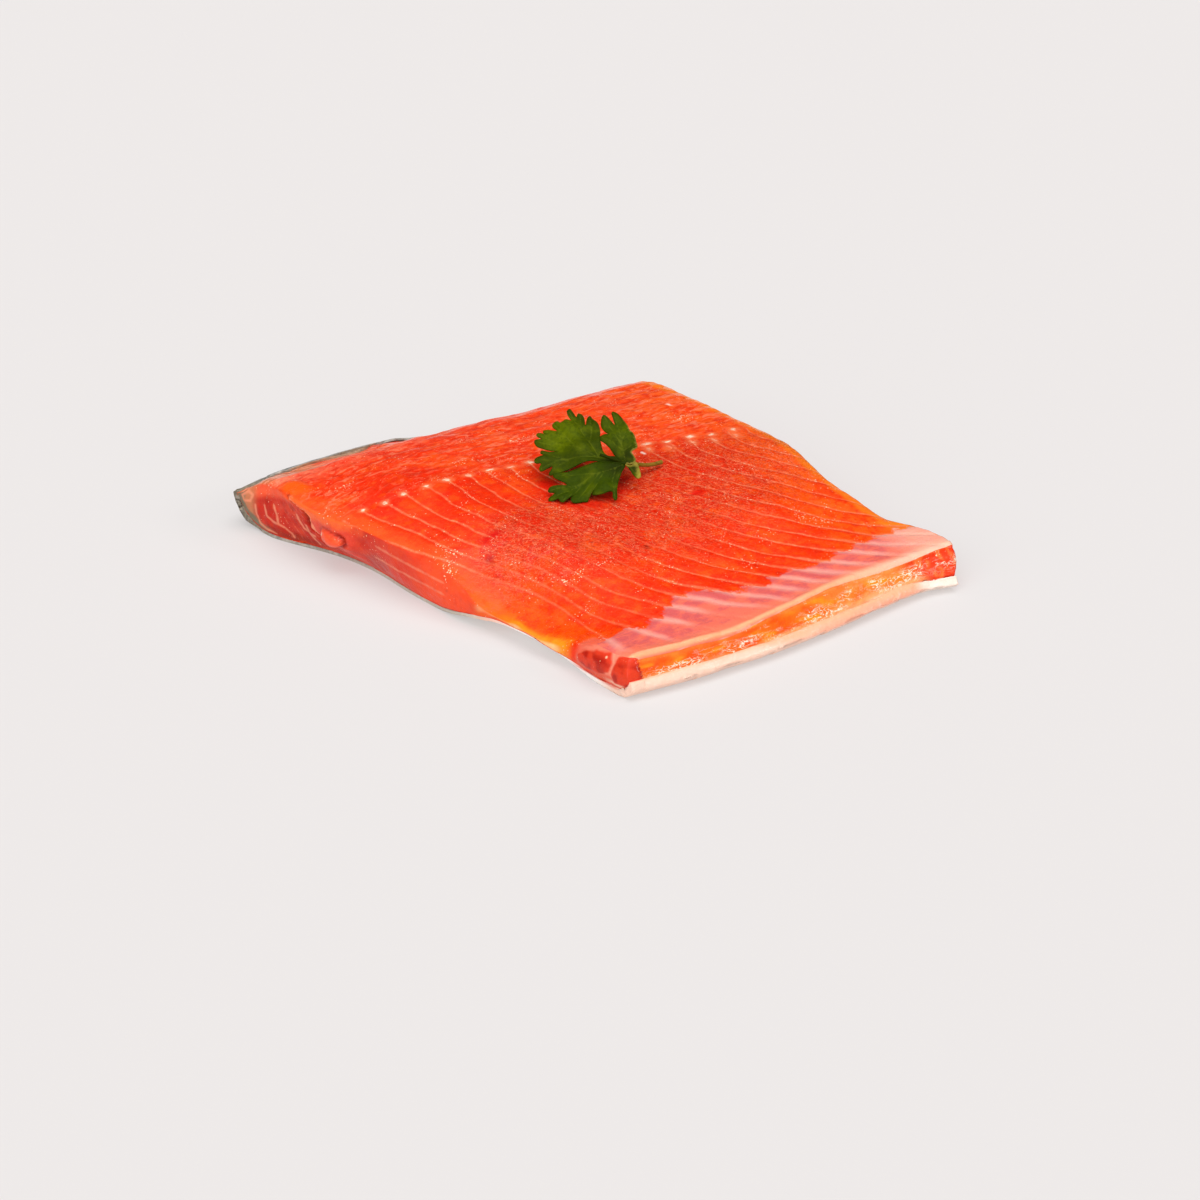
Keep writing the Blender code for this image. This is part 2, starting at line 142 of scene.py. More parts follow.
def keep(piece, name, values):
    """Stores a number or a colour for each point, for the material to read."""
    if values.ndim == 1:
        kept = piece.data.attributes.new(name, "FLOAT", "POINT")
        kept.data.foreach_set("value", values.astype(np.float32))
    else:
        kept = piece.data.attributes.new(name, "FLOAT_COLOR", "POINT")
        full = np.hstack([values, np.ones((len(values), 1))])
        kept.data.foreach_set("color", full.astype(np.float32).ravel())


flesh = merged_copy("flesh", "salmon_flesh")
crease_sharp_edges(flesh, 0.8)
finer = flesh.modifiers.new("finer", "SUBSURF")
finer.levels = 2
finer.render_levels = 2
bpy.ops.object.modifier_apply(modifier=finer.name)

# The head end's cut is the finest part, so the faces that look that way are halved once more
HEADWARD = -0.45
bpy.ops.object.mode_set(mode="EDIT")
bpy.ops.mesh.select_mode(type="FACE")
bpy.ops.mesh.select_all(action="DESELECT")
bpy.ops.object.mode_set(mode="OBJECT")
face_facings = np.empty(len(flesh.data.polygons) * 3)
flesh.data.polygons.foreach_get("normal", face_facings)
flesh.data.polygons.foreach_set("select", face_facings.reshape(-1, 3)[:, 0] < HEADWARD)
bpy.ops.object.mode_set(mode="EDIT")
bpy.ops.mesh.subdivide(number_cuts=1, smoothness=0)
bpy.ops.object.mode_set(mode="OBJECT")

places = places_of(flesh)
facings = facings_of(flesh)
x, y, z = places.T
facing_x, facing_y, facing_z = facings.T

# Which side of the block each point is on
top = ramp(0.5, 0.8, facing_z)
under = ramp(0.5, 0.8, -facing_z)
side = (1 - top) * (1 - under)
head_cut = side * ramp(-0.1, 0.25, -facing_x - np.abs(facing_y))
tail_cut = side * ramp(-0.1, 0.25, facing_x - np.abs(facing_y))
belly_face = side * ramp(-0.25, 0.1, -facing_y - np.abs(facing_x))

# The sheets of tissue between the flakes, numbered from the head end. Each row says at which x, in
# millimetres, these sheets cross that y.
SHEETS_NUMBERED = (3, 4, 6, 8, 12, 16, 20)
SHEET_ROWS = {
    -66: (-36, -23, -1.5, 13.5, 43, 81, 124),
    -53: (-36, -27.8, -13, 1.3, 29, 63, 100),
    -40: (-34, -30.5, -22.2, -10.6, 16.5, 45, 76),
    -20: (-36.2, -33.6, -27.9, -18.3, 2.3, 26.7, 56),
    -10: (-41, -37.8, -31.5, -22.5, -1.5, 20.5, 45),
    0: (-46.5, -43, -35.3, -26.5, -5, 17.6, 40),
    10: (-50.2, -44.7, -36.9, -27.3, -6, 17.6, 42.3),
    28: (-54, -49, -38, -26.5, -3.6, 20, 44),
}


def sheet_at(x, y):
    """The sheet number at each place, with a whole number on each sheet."""
    crossings = [
        through([(row, xs[i]) for row, xs in SHEET_ROWS.items()], y)
        for i in range(len(SHEETS_NUMBERED))
    ]
    number = np.full(len(x), float(SHEETS_NUMBERED[0]))
    last = len(SHEETS_NUMBERED) - 2
    for i in range(last + 1):
        share = (x - crossings[i]) / (crossings[i + 1] - crossings[i])
        share = np.clip(share, -2 if i == 0 else 0, 3 if i == last else 1)
        number += share * (SHEETS_NUMBERED[i + 1] - SHEETS_NUMBERED[i])
    return number


FEWEST_PER_MM = 0.03
sheet = sheet_at(x, y)
sheet_slopes = (sheet_at(x + 0.5, y) - sheet_at(x - 0.5, y), sheet_at(x, y + 0.5) - sheet_at(x, y - 0.5))
sheets_per_mm = np.maximum(np.hypot(*sheet_slopes), FEWEST_PER_MM)

# The row of pin bones, and the borders of the lining and of the grainy middle, as y at each x
PIN_ROW = ((-54, 31), (-48.4, 30.1), (-38, 27.7), (-26.7, 25.3), (-14.8, 23.6), (-4.2, 21.2),
           (10, 17), (25.5, 12.2), (36.8, 8.8), (48.7, 5.8), (58, 4))
LINING_EDGE = ((-44, -46), (-39, -47.6), (-35, -49.2), (-30, -49.4), (-26, -51), (-21.5, -51), (-19, -49.8),
               (-15, -47.3), (-11, -46.2), (-8, -46.6), (-4.5, -49), (0, -50.6), (5, -52),
               (9, -53.2), (13, -51.8), (20, -51.4), (25, -52.2), (30, -51.5), (38, -50.8),
               (45, -50), (50, -49.4), (57, -50.5), (62, -52))
BELLY_RIM = ((-38, -60.4), (-34.6, -61), (-22, -63.3), (-13, -64), (-4, -63.9), (11.4, -62.7),
             (24, -61.5), (40, -61.8), (53, -61.9), (60, -62.4))
GRAIN_STARTS = ((-42, -9), (-30, 0), (-15, 2), (10, 6), (35, 5), (58, 2))
GRAIN_ENDS = ((-42, -12), (-30, -20), (-10, -30), (10, -31), (30, -27), (58, -17))
past_pins = through(PIN_ROW, x) - y
past_lining = through(LINING_EDGE, x) - y
past_rim = through(BELLY_RIM, x) - y
in_grain = np.minimum(through(GRAIN_STARTS, x) - y, (y - through(GRAIN_ENDS, x)) * 0.6)
grain = ramp(-7, 5, in_grain + 3 * lumps(places, 6, 3)) * top


def near_line(points, line):
    """How far each point is from a line drawn through the given places, in millimetres."""
    nearest = np.full(len(points), np.inf)
    line = np.array(line, float)
    for start, end in zip(line[:-1], line[1:]):
        run = end - start
        share = np.clip((points - start) @ run / (run @ run), 0, 1)
        nearest = np.minimum(nearest, np.linalg.norm(points - start - share[:, None] * run, axis=1))
    return nearest


def inside(points, outline):
    """Whether each point of a plane lies inside the closed outline."""
    crossed = np.zeros(len(points), bool)
    across, up = points.T
    for (x0, y0), (x1, y1) in zip(outline, outline[1:] + outline[:1]):
        if y0 != y1:
            spans = (y0 > up) != (y1 > up)
            crossed ^= spans & (across < (x1 - x0) * (up - y0) / (y1 - y0) + x0)
    return crossed


# The pin bones' ends: x, y, radius and how far each one is drawn out along the row. Towards the tail
# each has a second soft place below it. Whatever is FAR away, in millimetres, doesn't show.
PINS = (
    (-48.4, 30.1, 0.5, 1.4), (-43.2, 28.3, 0.7, 1), (-38, 27.7, 0.65, 1), (-32.3, 26, 0.7, 1.1),
    (-26.7, 25.3, 0.75, 1.3), (-21, 24.2, 0.7, 1.2), (-14.8, 23.7, 0.5, 2.4), (-9.5, 22, 0.5, 2.2),
    (-4.2, 21.2, 0.8, 1.4), (20.5, 13.5, 0.65, 1.6), (25.5, 12.2, 0.7, 2), (30.2, 9.8, 0.65, 1.6),
    (36.8, 8.8, 0.8, 1.4), (42.2, 6.7, 0.65, 1.3), (48.7, 5.8, 0.7, 1.3),
)
ROW_RUN = (0.966, -0.26)
FAR = 9.0
on_top = places[:, :2]
from_pin = np.full(len(x), FAR)
for pin_x, pin_y, radius, drawn_out in PINS:
    along = (x - pin_x) * ROW_RUN[0] + (y - pin_y) * ROW_RUN[1]
    across = (y - pin_y) * ROW_RUN[0] - (x - pin_x) * ROW_RUN[1]
    from_pin = np.minimum(from_pin, np.hypot(along / drawn_out, across) / radius / 1.2)
    if pin_x > 15:
        from_pin = np.minimum(from_pin, 0.5 + np.hypot(along + 0.8, (across + 3.2) / 1.6) / 1.2)

# The pale lines on the head end's cut, as y and z, and how far each point is from the nearest one
CUT_LINES = (
    ((65.1, 10.4), (63.6, 9.8), (64.6, 7.9), (66.7, 7.5), (66.9, 9), (65.1, 10.4)),
    ((62.6, 7.4), (62.6, 6.3), (62.4, 4.7), (61.4, 2.6), (58.9, 1.8), (56, 1.4)),
    ((59.2, 8.4), (58.5, 6), (56.5, 4.9), (54.4, 4.8), (52.6, 4.3), (50.9, 3), (50.5, 2.2)),
    ((55.8, 9.4), (54.7, 7.3), (54.6, 5.4), (54.4, 4.8)),
    ((47, 9.9), (45.9, 6.4), (43.1, 4.9)), ((44.6, 7.6), (44.5, 5.4), (43.1, 2)),
)
on_cut = places[:, 1:]
from_cut_line = np.full(len(x), FAR)
for line in CUT_LINES:
    from_cut_line = np.minimum(from_cut_line, near_line(on_cut, line))


def off_whole(number):
    """How far a number is from the nearest whole one."""
    return np.abs(number - np.round(number))


# The rings of muscle in the cuts: part of a set shows at the head end, and two sets at the tail end
rings = (y + 8 * (1 - np.exp(-(11.4 - z) / 6)) - 50.1 + 0.5 * lumps(places, 4, 16)) / 1.9
ring_shows = ramp(54, 52, y) * ramp(38, 42, y)
from_cut_line = np.minimum(from_cut_line, off_whole(rings) * 2 + 0.36 + (1 - ring_shows) * 3)
from_cut_line += FAR * (1 - head_cut)
back_rings = np.hypot((y - 36) / 1.8, z - 8)
belly_rings = np.hypot((y + 16) / 2.8, z - 6) + 1.3
tail_rings = np.where(y > 10, back_rings, belly_rings) / 2 + 0.3 * lumps(places, 5, 27)
from_cut_line = np.minimum(from_cut_line, off_whole(tail_rings) * 2 + 0.1 + FAR * (1 - tail_cut))

# Two long layers run along the head end's cut, at these shares of its height over the skin
CUT_TOP = ((-62, 9), (-40, 9), (-20, 11), (0, 13), (20, 16), (66, 14))
SKIN_TOP = 1.2
USUAL_HEIGHT = 9
cut_height = (z - SKIN_TOP) / np.clip(through(CUT_TOP, y) - SKIN_TOP, 1, 20)
for level in (0.36, 0.63):
    from_layer = np.abs(cut_height - level) * USUAL_HEIGHT
    from_layer += 3 * ramp(24, 28, y) + 3 * ramp(-2, -10, y) + FAR * (1 - head_cut)
    from_cut_line = np.minimum(from_cut_line, from_layer + 0.2)

# The torn flap on the cut, its hollow and the drop of flesh that hangs from it, as y and z
FLAP_EDGE = ((49, 15), (48.5, 14.1), (45.1, 13.3), (42.8, 12.7), (41.8, 10.7), (41.4, 8.1),
             (40.2, 6.6), (39.1, 5.6))
DROP = ((38, 9.2), (36.5, 10.3), (34.4, 10.4), (31.5, 9.9), (29.3, 9.4), (28.9, 8.4), (30.2, 7.6),
        (33, 6.4), (36.9, 5.8), (38.3, 7.2))
flap_y = through([(z_, y_) for y_, z_ in reversed(FLAP_EDGE)], z)
flap_y = flap_y + 0.9 * lumps(places, (3, 1.6, 1.6), 11)
past_flap = y - flap_y
on_flap = head_cut * ramp(0.2, -0.3, past_flap) * ramp(4.5, 8, z)
on_flap *= ramp(21, 30, y + 2.5 * lumps(places, 3, 28))
# Painted shade: dark in the hollow past the flap's edge, in the crease round the drop and, as a shadow, along
# the drop's belly side, where the flesh also dips
shaded_hollow = head_cut * ramp(0, 0.5, past_flap) * ramp(2.9, 1.3, past_flap) * ramp(3, 5, z) * ramp(16, 14.6, z)
in_drop = inside(on_cut, DROP) & (facing_x < -0.3)
from_drop = near_line(on_cut, DROP + DROP[:1])
drop_depth = from_drop * in_drop
drop_crease_shade = ramp(1.0, 0.2, from_drop) * ~in_drop * head_cut
drop_shadow_and_dip = ramp(1.2, 0.2, from_drop) * ~in_drop * head_cut * ramp(32.5, 30, y)

# How far each point of the cut is from the skin, whose dark edge is smeared over the tip
from_skin = np.full(len(x), FAR)
for i in np.flatnonzero((head_cut > 0.1) & (y > 50)):
    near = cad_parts["skin"].closest_point_on_mesh(Vector(places[i] * MM))[1]
    from_skin[i] = (near / MM - Vector(places[i])).length + ramp(62, 54, y[i])

# Where the colours of the upper side lie, with soft noise that makes their borders uneven
cloudy = lumps(places, 9, 1)
patchy = lumps(places, 3.5, 2)
loin = ramp(4, -6, past_pins) * top
red_zone = top * ramp(20, 8, np.hypot(x + 35, (y - 27) * 1.1))
tail_edge = top * ramp(54.4, 57.2, x + 1.2 * patchy) * ramp(52, 44, y)
amber_edge = ramp(0.05, 0.35, facing_z) * ramp(51.5, 54, x + 0.8 * patchy) * ramp(57, 50, y)
down_margin = y + 0.08 * (x + 52)
margin = top * ramp(57.5, 59.5, down_margin + 0.4 * patchy) * ramp(-38, -44, x)
margin_stripe = margin * ramp(0.25, 0.12, np.abs(down_margin / 1.6 % 1 - 0.5))
LEAF_SHADE = ((-8.6, 9), (-10.6, 3), (-10.8, -2), (-9, -5), (-5.4, -7), (-1, -6), (3, -4.4), (7.5, -0.5))
leaf_shade = top * ramp(3.6, 0.8, near_line(on_top, LEAF_SHADE))

# The soft orange rim along the head end, and the yellow fat where it meets the belly
HEAD_RIM = ((-61.3, 60), (-58.6, 47), (-56.4, 38), (-53.4, 29.6), (-51, 12.1), (-48, 1.4), (-46.1, -8.3),
            (-44.6, -16))
FAT_EDGE = ((-47.4, -8), (-46.8, -12), (-44.8, -20), (-43.5, -30), (-42.5, -37), (-41.9, -44), (-41.6, -50))
rim_fat = ramp(7, 1, near_line(on_top, HEAD_RIM)) * (top + 0.6 * side)
in_from_edge = x - through([(y_, x_) for x_, y_ in reversed(FAT_EDGE)], y)
fat_here = ramp(-8, -14, y) * ramp(-45, -41, y) * (1 - under)

# The two cuts, with the soft bulge over the head end's, and painted highlights along the flap's edge and on
# the drop
HEAD_TOP = ((28, 14.6), (45, 14.4), (52, 14), (58, 12.6), (62, 11.2), (66, 10))
knife_cut = head_cut * ramp(-15, -9, y)
cut = np.clip(knife_cut + tail_cut, 0, 1)
upper_edge = ramp(2.6, 0.4, through(HEAD_TOP, y) - z + 0.7 * patchy) * ramp(26, 32, y)
bulge = ramp(1, 0.4, np.hypot((x + 54.3) / 4.2, (y - 50.5) / 7)) * (1 - under) * ramp(12.4, 13.4, z)
flap_edge_highlight = head_cut * ramp(0.7, 0.1, np.abs(past_flap + 0.5)) * ramp(6, 7, z)
drop_glint = ramp(0, 0.2, drop_depth) * ramp(0.7, 0.3, np.hypot(y - 36.3, (z - 9.3) * 1.6))

# The belly face below the rim of fat, and how far each point is above its pale lower part
belly_face = np.maximum(belly_face, ramp(0.2, 0.9, past_rim) * (1 - under)) * ramp(-37, -36, x)
over_pale = z - 4.6 - 0.8 * lumps(places, (8, 8, 8), 6) - 0.5 * ramp(0, 30, x) * ramp(52, 44, x)

# The red muscle that shows at both ends of the belly face, at the head end as two lobes with glints
LOBES = (
    [(-46, 5.5), (-48.5, 7.4), (-52, 8.6), (-56, 8.9), (-57.8, 7), (-57.4, 4.4), (-53, 2.8),
     (-49.5, 2.6), (-46.2, 3.6)],
    [(-57.6, 8.9), (-60, 9.5), (-63, 9.1), (-65.4, 7), (-65.6, 4.4), (-62.5, 2.6), (-58.6, 2.4),
     (-57.4, 4.5)],
)
GLINTS = ((-55.3, 7.6), (-64.6, 7.2), (-65, 5.6), (-63.6, 3.6))
red_end = ramp(43, 50, x + 1.2 * patchy + 1.2 * (z - 6)) * ramp(0.2, 0.9, past_rim)
red_end *= ramp(3.2, 4.2, z + 1.4 * ramp(44, 50, x))
at_corner = ramp(-35.8, -37, x) * ramp(-45, -46.5, y) * (1 - under)
lobe_depth = np.zeros(len(x))
from_lobe = np.full(len(x), FAR)
for lobe in LOBES:
    from_border = near_line(on_cut, lobe + lobe[:1])
    lobe_depth += from_border * inside(on_cut, lobe) * (at_corner > 0.3)
    from_lobe = np.minimum(from_lobe, from_border)
in_lobe = ramp(0, 0.8, lobe_depth + 0.4 * lumps(places, 1.4, 25))
lobe_seam = np.maximum(ramp(2.2, 1.2, np.abs(y + 57.5)), 0.5 * ramp(6.5, 8, z))
lobe_seam *= at_corner * ramp(0.9, 0.3, from_lobe) * ramp(9.6, 8.6, z) * ramp(3.4, 4.4, z)
white_edge = side * ramp(-12, -15, y) * ramp(-48, -44, y) * ramp(-37, -39, x)
white_edge *= ramp(1.5, 0.9, z + 0.3 * patchy)

# Small marks: three deep red hollows, two dark flecks and two painted highlights, and the places where
# painted glints gather
MARKS = (
    ((-34, -3), (3.4, 1.4), "#e01000"), ((-38, -7.5), (1.6, 1.2), "#c81804"),
    ((19.5, -15.5), (2.6, 1.5), "#e41c04"), ((-6.3, -27.5), (0.55, 1.2), "#6c1004"),
    ((4, -57.5), (0.6, 0.4), "#8c3030"), ((46.2, 29), (0.6, 0.9), "#fff0e4"),
    ((21.3, 8.3), (0.6, 0.9), "#ffe8d8"),
)
GLINT_LINES = (
    ((-44.4, 0.5), (-38, -5)), ((-48, 1.4), (-47.1, -3.3), (-46.1, -8.3)), ((-39.5, -5.5), (-36, -9.5)),
    ((-52, 46), (-46, 49), (-41, 45)), ((-49, 44), (-45, 42.5)), ((-55.8, 52), (-55, 47.5), (-55, 43.5)),
    ((-35, -12), (-28, -20)), ((10, -8), (18, -12)),
)
marks = [
    (code, top * ramp(1.2, 0.5, np.hypot((x - mark_x) / long, (y - mark_y) / wide)))
    for (mark_x, mark_y), (long, wide), code in MARKS
]
glint_spots = np.zeros(len(x))
for line in GLINT_LINES:
    glint_spots = np.maximum(glint_spots, ramp(0.9, 0.1, near_line(on_top, line)) * top)

# The colours, in the order they are laid on
paint = painted("#f2360a", [
    # The upper side
    ("#fb3c12", loin),
    ("#ff4e1c", loin * ramp(-5, 30, x)),
    ("#ec2806", red_zone * 0.9),
    ("#e42a08", grain * 0.85),
    ("#f63400", top * ramp(-16, -34, y)),
    ("#fa8a6c", top * ramp(48, 60, y) * 0.7),
    ("#d8260e", top * ramp(0.1, 0.6, cloudy) * 0.35),
    ("#ff6020", top * ramp(0.15, 0.6, -cloudy) * 0.35),
    ("#fc5000", top * ramp(-24, -38, x) * ramp(-4, -18, y) * 0.7),
    ("#ff5400", top * ramp(20, 50, x) * ramp(-10, -25, y) * 0.6),
    ("#ff6014", top * ramp(30, 54, x) * 0.75),
    ("#fb5a14", top * ramp(51.5, 56, x + 0.6 * patchy)),
    ("#ff8c1c", tail_edge * 0.9),
    ("#fb5a1e", rim_fat * 0.75),
    ("#ff6a08", ramp(4.2, 0.8, in_from_edge + patchy) * fat_here * 0.7),
    ("#ff9c20", ramp(2.8, 0.8, in_from_edge + 1.2 * patchy) * fat_here * ramp(-18, -28, y) * 0.85),
    ("#ffd8a0", ramp(0.2, -0.5, in_from_edge + 0.5 * patchy) * fat_here * 0.7),
    ("#c8784e", margin * 0.85),
    ("#ffb094", margin_stripe * 0.7),
    # The two cuts
    ("#c42412", cut),
    ("#e0482c", cut * ramp(0, 0.5, patchy) * 0.5),
    ("#98180c", cut * ramp(0.1, 0.6, lumps(places, (2, 2.2, 2.2), 18)) * ramp(36, 46, y) * 0.6),
    ("#8e200e", head_cut * ramp(4.6, 2.2, z) * ramp(61, 57, y) * ramp(38, 46, y) * 0.7),
    ("#e03c24", knife_cut * ramp(28, 14, y)),
    ("#fa5028", knife_cut * ramp(12, 0, y)),
    ("#b04840", head_cut * ramp(6, 2, np.hypot(y - 21, (z - 5) * 1.4)) * 0.6),
    ("#f8603c", knife_cut * upper_edge * 0.85),
    ("#ff5e10", bulge * 0.9),
    ("#e64c38", on_flap),
    ("#ff6a30", on_flap * ramp(10.5, 12.5, z + 0.8 * patchy)),
    ("#ff841c", amber_edge * 0.8),
    ("#7c1408", shaded_hollow),
    ("#b02c1c", drop_crease_shade * 0.7),
    ("#a01808", drop_shadow_and_dip),
    ("#ffa278", flap_edge_highlight * 0.8),
    ("#ff5a34", ramp(0, 0.4, drop_depth)),
    ("#ffd8c0", drop_glint),
    ("#c88258", head_cut * ramp(61, 65, y) * 0.85),
    ("#7c6e56", head_cut * ramp(2.6, 1.7, from_skin + 0.3 * patchy) * ramp(55, 61, y)),
    # The belly face
    ("#f86c18", belly_face),
    ("#fb8a3c", belly_face * ramp(5, 30, x)),
    ("#ff9420", belly_face * ramp(0, 0.5, lumps(places, (6, 6, 1.6), 5))),
    ("#ee560e", belly_face * ramp(0, 0.5, lumps(places, (5, 5, 1.4), 9)) * (1 - 0.5 * ramp(5, 25, x))),
    ("#ff9a50", belly_face * ramp(1.5, 0.5, past_rim) * (0.4 + 0.5 * ramp(-2, 20, x))),
    ("#fba66c", belly_face * ramp(0.8, -0.8, over_pale)),
    ("#ffd8c0", belly_face * ramp(-0.6, -1.8, over_pale)),
    ("#ffeadc", belly_face * ramp(-0.6, -1.4, over_pale) * ramp(10, -10, x)),
    # The shade under the leaf, the marks and the red muscle
    ("#e01806", leaf_shade * 0.9),
    *marks,
    ("#e63c18", red_end * (1 - under)),
    ("#ff7c3c", red_end * ramp(0, 0.45, lumps(places, (1.4, 2, 3), 29)) * (1 - under) * 0.8),
    ("#ee6a50", at_corner * ramp(9.6, 8.6, z)),
    ("#e4583c", at_corner * ramp(3.6, 2.8, z)),
    ("#ffc8ac", at_corner * ramp(3.4, 2.4, z) * ramp(-54, -59, y)),
    ("#fba284", lobe_seam * 0.7),
    ("#de3c22", in_lobe),
    ("#ac1c10", in_lobe * ramp(-0.1, 0.5, lumps(places, (2.4, 2.2, 1.8), 17)) * ramp(8.2, 6.6, z) * 0.9),
    *[("#ffdcb0", in_lobe * ramp(0.34, 0.12, np.hypot(y - y_, z - z_))) for y_, z_ in GLINTS],
    ("#fff0e0", white_edge),
])

# How much of the mottling is left out, where the flesh is plain
PLAIN = (
    (head_cut, 0.7), (belly_face, 0.7), (at_corner, 0.85), (head_cut * ramp(58, 62, y), 1),
    (belly_face * ramp(1.5, -0.5, over_pale), 1), (margin, 0.9), (bulge, 0.85), (rim_fat, 0.55),
    (tail_edge, 0.7), (amber_edge, 0.7), (leaf_shade, 0.8), (red_zone, 0.3),
    (fat_here * ramp(2.5, 1, in_from_edge), 0.8), *[(mark, 1) for code, mark in marks],
)
plain = np.zeros(len(x))
for where, amount in PLAIN:
    plain = np.maximum(plain, where * amount)

# What the material reads at each point. Where there is no lining, its border is put out of reach.
OUT_OF_REACH = 40
sheet_shows = top * ramp(-0.3, 0.8, past_pins) * ramp(2.4, 2.8, sheet) * ramp(0.6, 0, past_rim)
sheet_shows *= (1 - 0.6 * grain * ramp(30, 8, x)) * (1 - 0.45 * ramp(-8, -20, x) * ramp(-18, -30, y))
not_lined = ramp(0.3, 1.3, past_rim) + ramp(-39.6, -40.6, x) + ramp(0.2, 0.6, tail_cut)
not_lined += at_corner * ramp(8.9, 8.3, z)
strand_level = 4.9 + 1.1 * ramp(0, 28, x) + 0.8 * lumps(places, (9, 9, 9), 19)
KEPT = {
    "plain": plain,
    "sheet": sheet,
    "sheets_per_mm": sheets_per_mm,
    "sheet_shows": sheet_shows,
    "line_width": 0.5 + 0.75 * ramp(-9, 3, past_lining),
    "past_lining": past_lining - OUT_OF_REACH * not_lined,
    "past_rim": past_rim,
    "from_pin": from_pin + FAR * (1 - top),
    "from_cut_line": from_cut_line + FAR * on_flap,
    "grain": grain,
    "glint_spots": glint_spots + 0.8 * red_end * ramp(6, 7.5, z),
    "loin": loin * (1 - 0.4 * red_zone),
    "strands": belly_face * ramp(1.9, 0.6, np.abs(z - strand_level)),
}
for name, values in KEPT.items():
    keep(flesh, name, values)
keep(flesh, "tint", paint)

# The low relief, as heights in millimetres: puffed flakes, grain and lumps, the lining's step, the
# rim's ridge, the forms on the cuts, and the ledge and the dip beside the skin's strip at the back.
# The underside comes down onto the skin.
CAD_GAP = 0.3
CONTACT_GAP = 0.02
from_sheet = off_whole(sheet) / sheets_per_mm
grooves = ramp(0.9, 0.0, from_sheet) * top * ramp(-0.5, 0.5, past_pins) * (1 - 0.6 * grain)
torn = ramp(6, 2, np.hypot(x + 46, (y - 47) * 1.3)) * top
torn += ramp(3.2, 1.2, np.hypot(x - 19.5, (y + 15.5) * 1.3)) * top
ledge = np.clip(14.35 - 0.3 * (y - 60) - z, 0, 1.2) * ramp(-12, -16, x) * ramp(-58, -54, x)
ledge *= ramp(57, 58, y) * ramp(64.5, 63, y) * top
RELIEF = (
    (-0.16, grooves),
    (0.14, lumps(places, 1.6, 6) * grain),
    (0.16, lumps(places, 6, 7)),
    (0.07, lumps(places, 2.2, 8)),
    (0.25, lumps(places, (6, 2, 3), 12) * loin),
    (0.4, lumps(places, 1.5, 13) * torn),
    (0.25, lumps(places, (5, 5, 1.1), 14) * belly_face * ramp(4, 5.4, z)),
    (0.12, lumps(places, 1.6, 15) * cut),
    (0.2, ramp(-0.1, 0.6, past_lining) * top),
    (0.3, ramp(1.4, 0.2, np.abs(past_rim)) * (top + belly_face) * ramp(-39, -36, x)),
    (0.6, bulge),
    (0.5, on_flap),
    (-0.9, shaded_hollow),
    (-0.5, drop_shadow_and_dip),
    (1.7, np.sqrt(np.clip(drop_depth / 1.6, 0, 1))),
    (0.5, np.sqrt(np.clip(lobe_depth / 2.5, 0, 1))),
    (-0.1, at_corner),
    (1, ledge),
    (-0.8, ramp(6, 1, np.hypot(x + 17, y - 61.5)) * (1 - under)),
)
height = sum(size * where for size, where in RELIEF)
moved = places + facings * (height * (1 - under))[:, None]
moved[:, 2] -= under * (CAD_GAP - CONTACT_GAP)
move_points(flesh, moved)
bpy.ops.object.shade_smooth()


def add_node(tree, kind, out=0, feeds=None, **settings):
    """Adds a shader node with its settings, feeds its inputs, and gives the output that is asked for."""
    node = tree.nodes.new("ShaderNode" + kind)
    for name, value in settings.items():
        setattr(node, name, value)
    for place, value in (feeds or {}).items():
        if isinstance(value, bpy.types.NodeSocket):
            tree.links.new(value, node.inputs[place])
        else:
            node.inputs[place].default_value = value
    return node.outputs[out] if node.outputs else node


def new_material(name):
    """An empty material and its node tree."""
    material = bpy.data.materials.new(name)
    material.use_nodes = True
    material.node_tree.nodes.clear()
    return material, material.node_tree


def per_metre(size):
    """The scale of a texture whose features are that many millimetres across."""
    return 1 / (size * MM)


# Raw salmon muscle, freshly cut and wet: a soft, slightly clear orange-red under a thin film of water.
# Its material reads the attributes above, the place along the fish, and noise of several sizes.
raw_flesh, tree = new_material("raw_salmon_flesh")
where = add_node(tree, "TexCoord", "Object")
tint = add_node(tree, "Attribute", "Color", attribute_name="tint")
looks = {"along_fish": add_node(tree, "SeparateXYZ", "X", {0: where})}
for name in KEPT:
    looks[name] = add_node(tree, "Attribute", "Fac", attribute_name=name)

# The noise is drawn out along the flakes, the fibres of the grain, the lining or the belly face
along_flakes = add_node(tree, "Mapping", 0, {
    "Vector": where, "Rotation": (0, 0, -0.18), "Scale": (0.45, 1, 0.6)})
along_fibres = add_node(tree, "Mapping", 0, {
    "Vector": where, "Rotation": (0, 0, -0.66), "Scale": (1.8, 1, 1)}, vector_type="TEXTURE")
along_lining = add_node(tree, "Mapping", 0, {
    "Vector": where, "Rotation": (0, 0, 0.5), "Scale": (0.6, 1, 1)})
along_belly = add_node(tree, "Mapping", 0, {
    "Vector": where, "Rotation": (0, 0.12, 0), "Scale": (0.4, 0.8, 1)})

# Each noise: how it lies, the size of its features in millimetres, detail, roughness and distortion
NOISES = {
    "patches": (where, 5, 5, 0.6, 0),
    "mottles": (where, 2.2, 4, 0.65, 0),
    "streaks": (along_flakes, 1.6, 4, 0.6, 1.2),
    "nap": (along_fibres, 0.5, 3, 0.6, 0.6),
    "wool": (along_fibres, 0.85, 2, 0.5, 1.2),
    "waver": (where, 11, 3, 0.5, 0),
    "glint_noise": (where, 0.45, 1, 0.5, 0),
    "glint_fields": (where, 8, 2, 0.5, 0),
    "veins": (along_lining, 3.6, 5, 0.65, 0),
    "tissue": (along_belly, 1.0, 3, 0.5, 1.2),
}
for name, (lie, size, detail, roughness, distortion) in NOISES.items():
    looks[name] = add_node(tree, "TexNoise", 0, {
        "Vector": lie, "Scale": per_metre(size), "Detail": detail, "Roughness": roughness,
        "Distortion": distortion,
    })

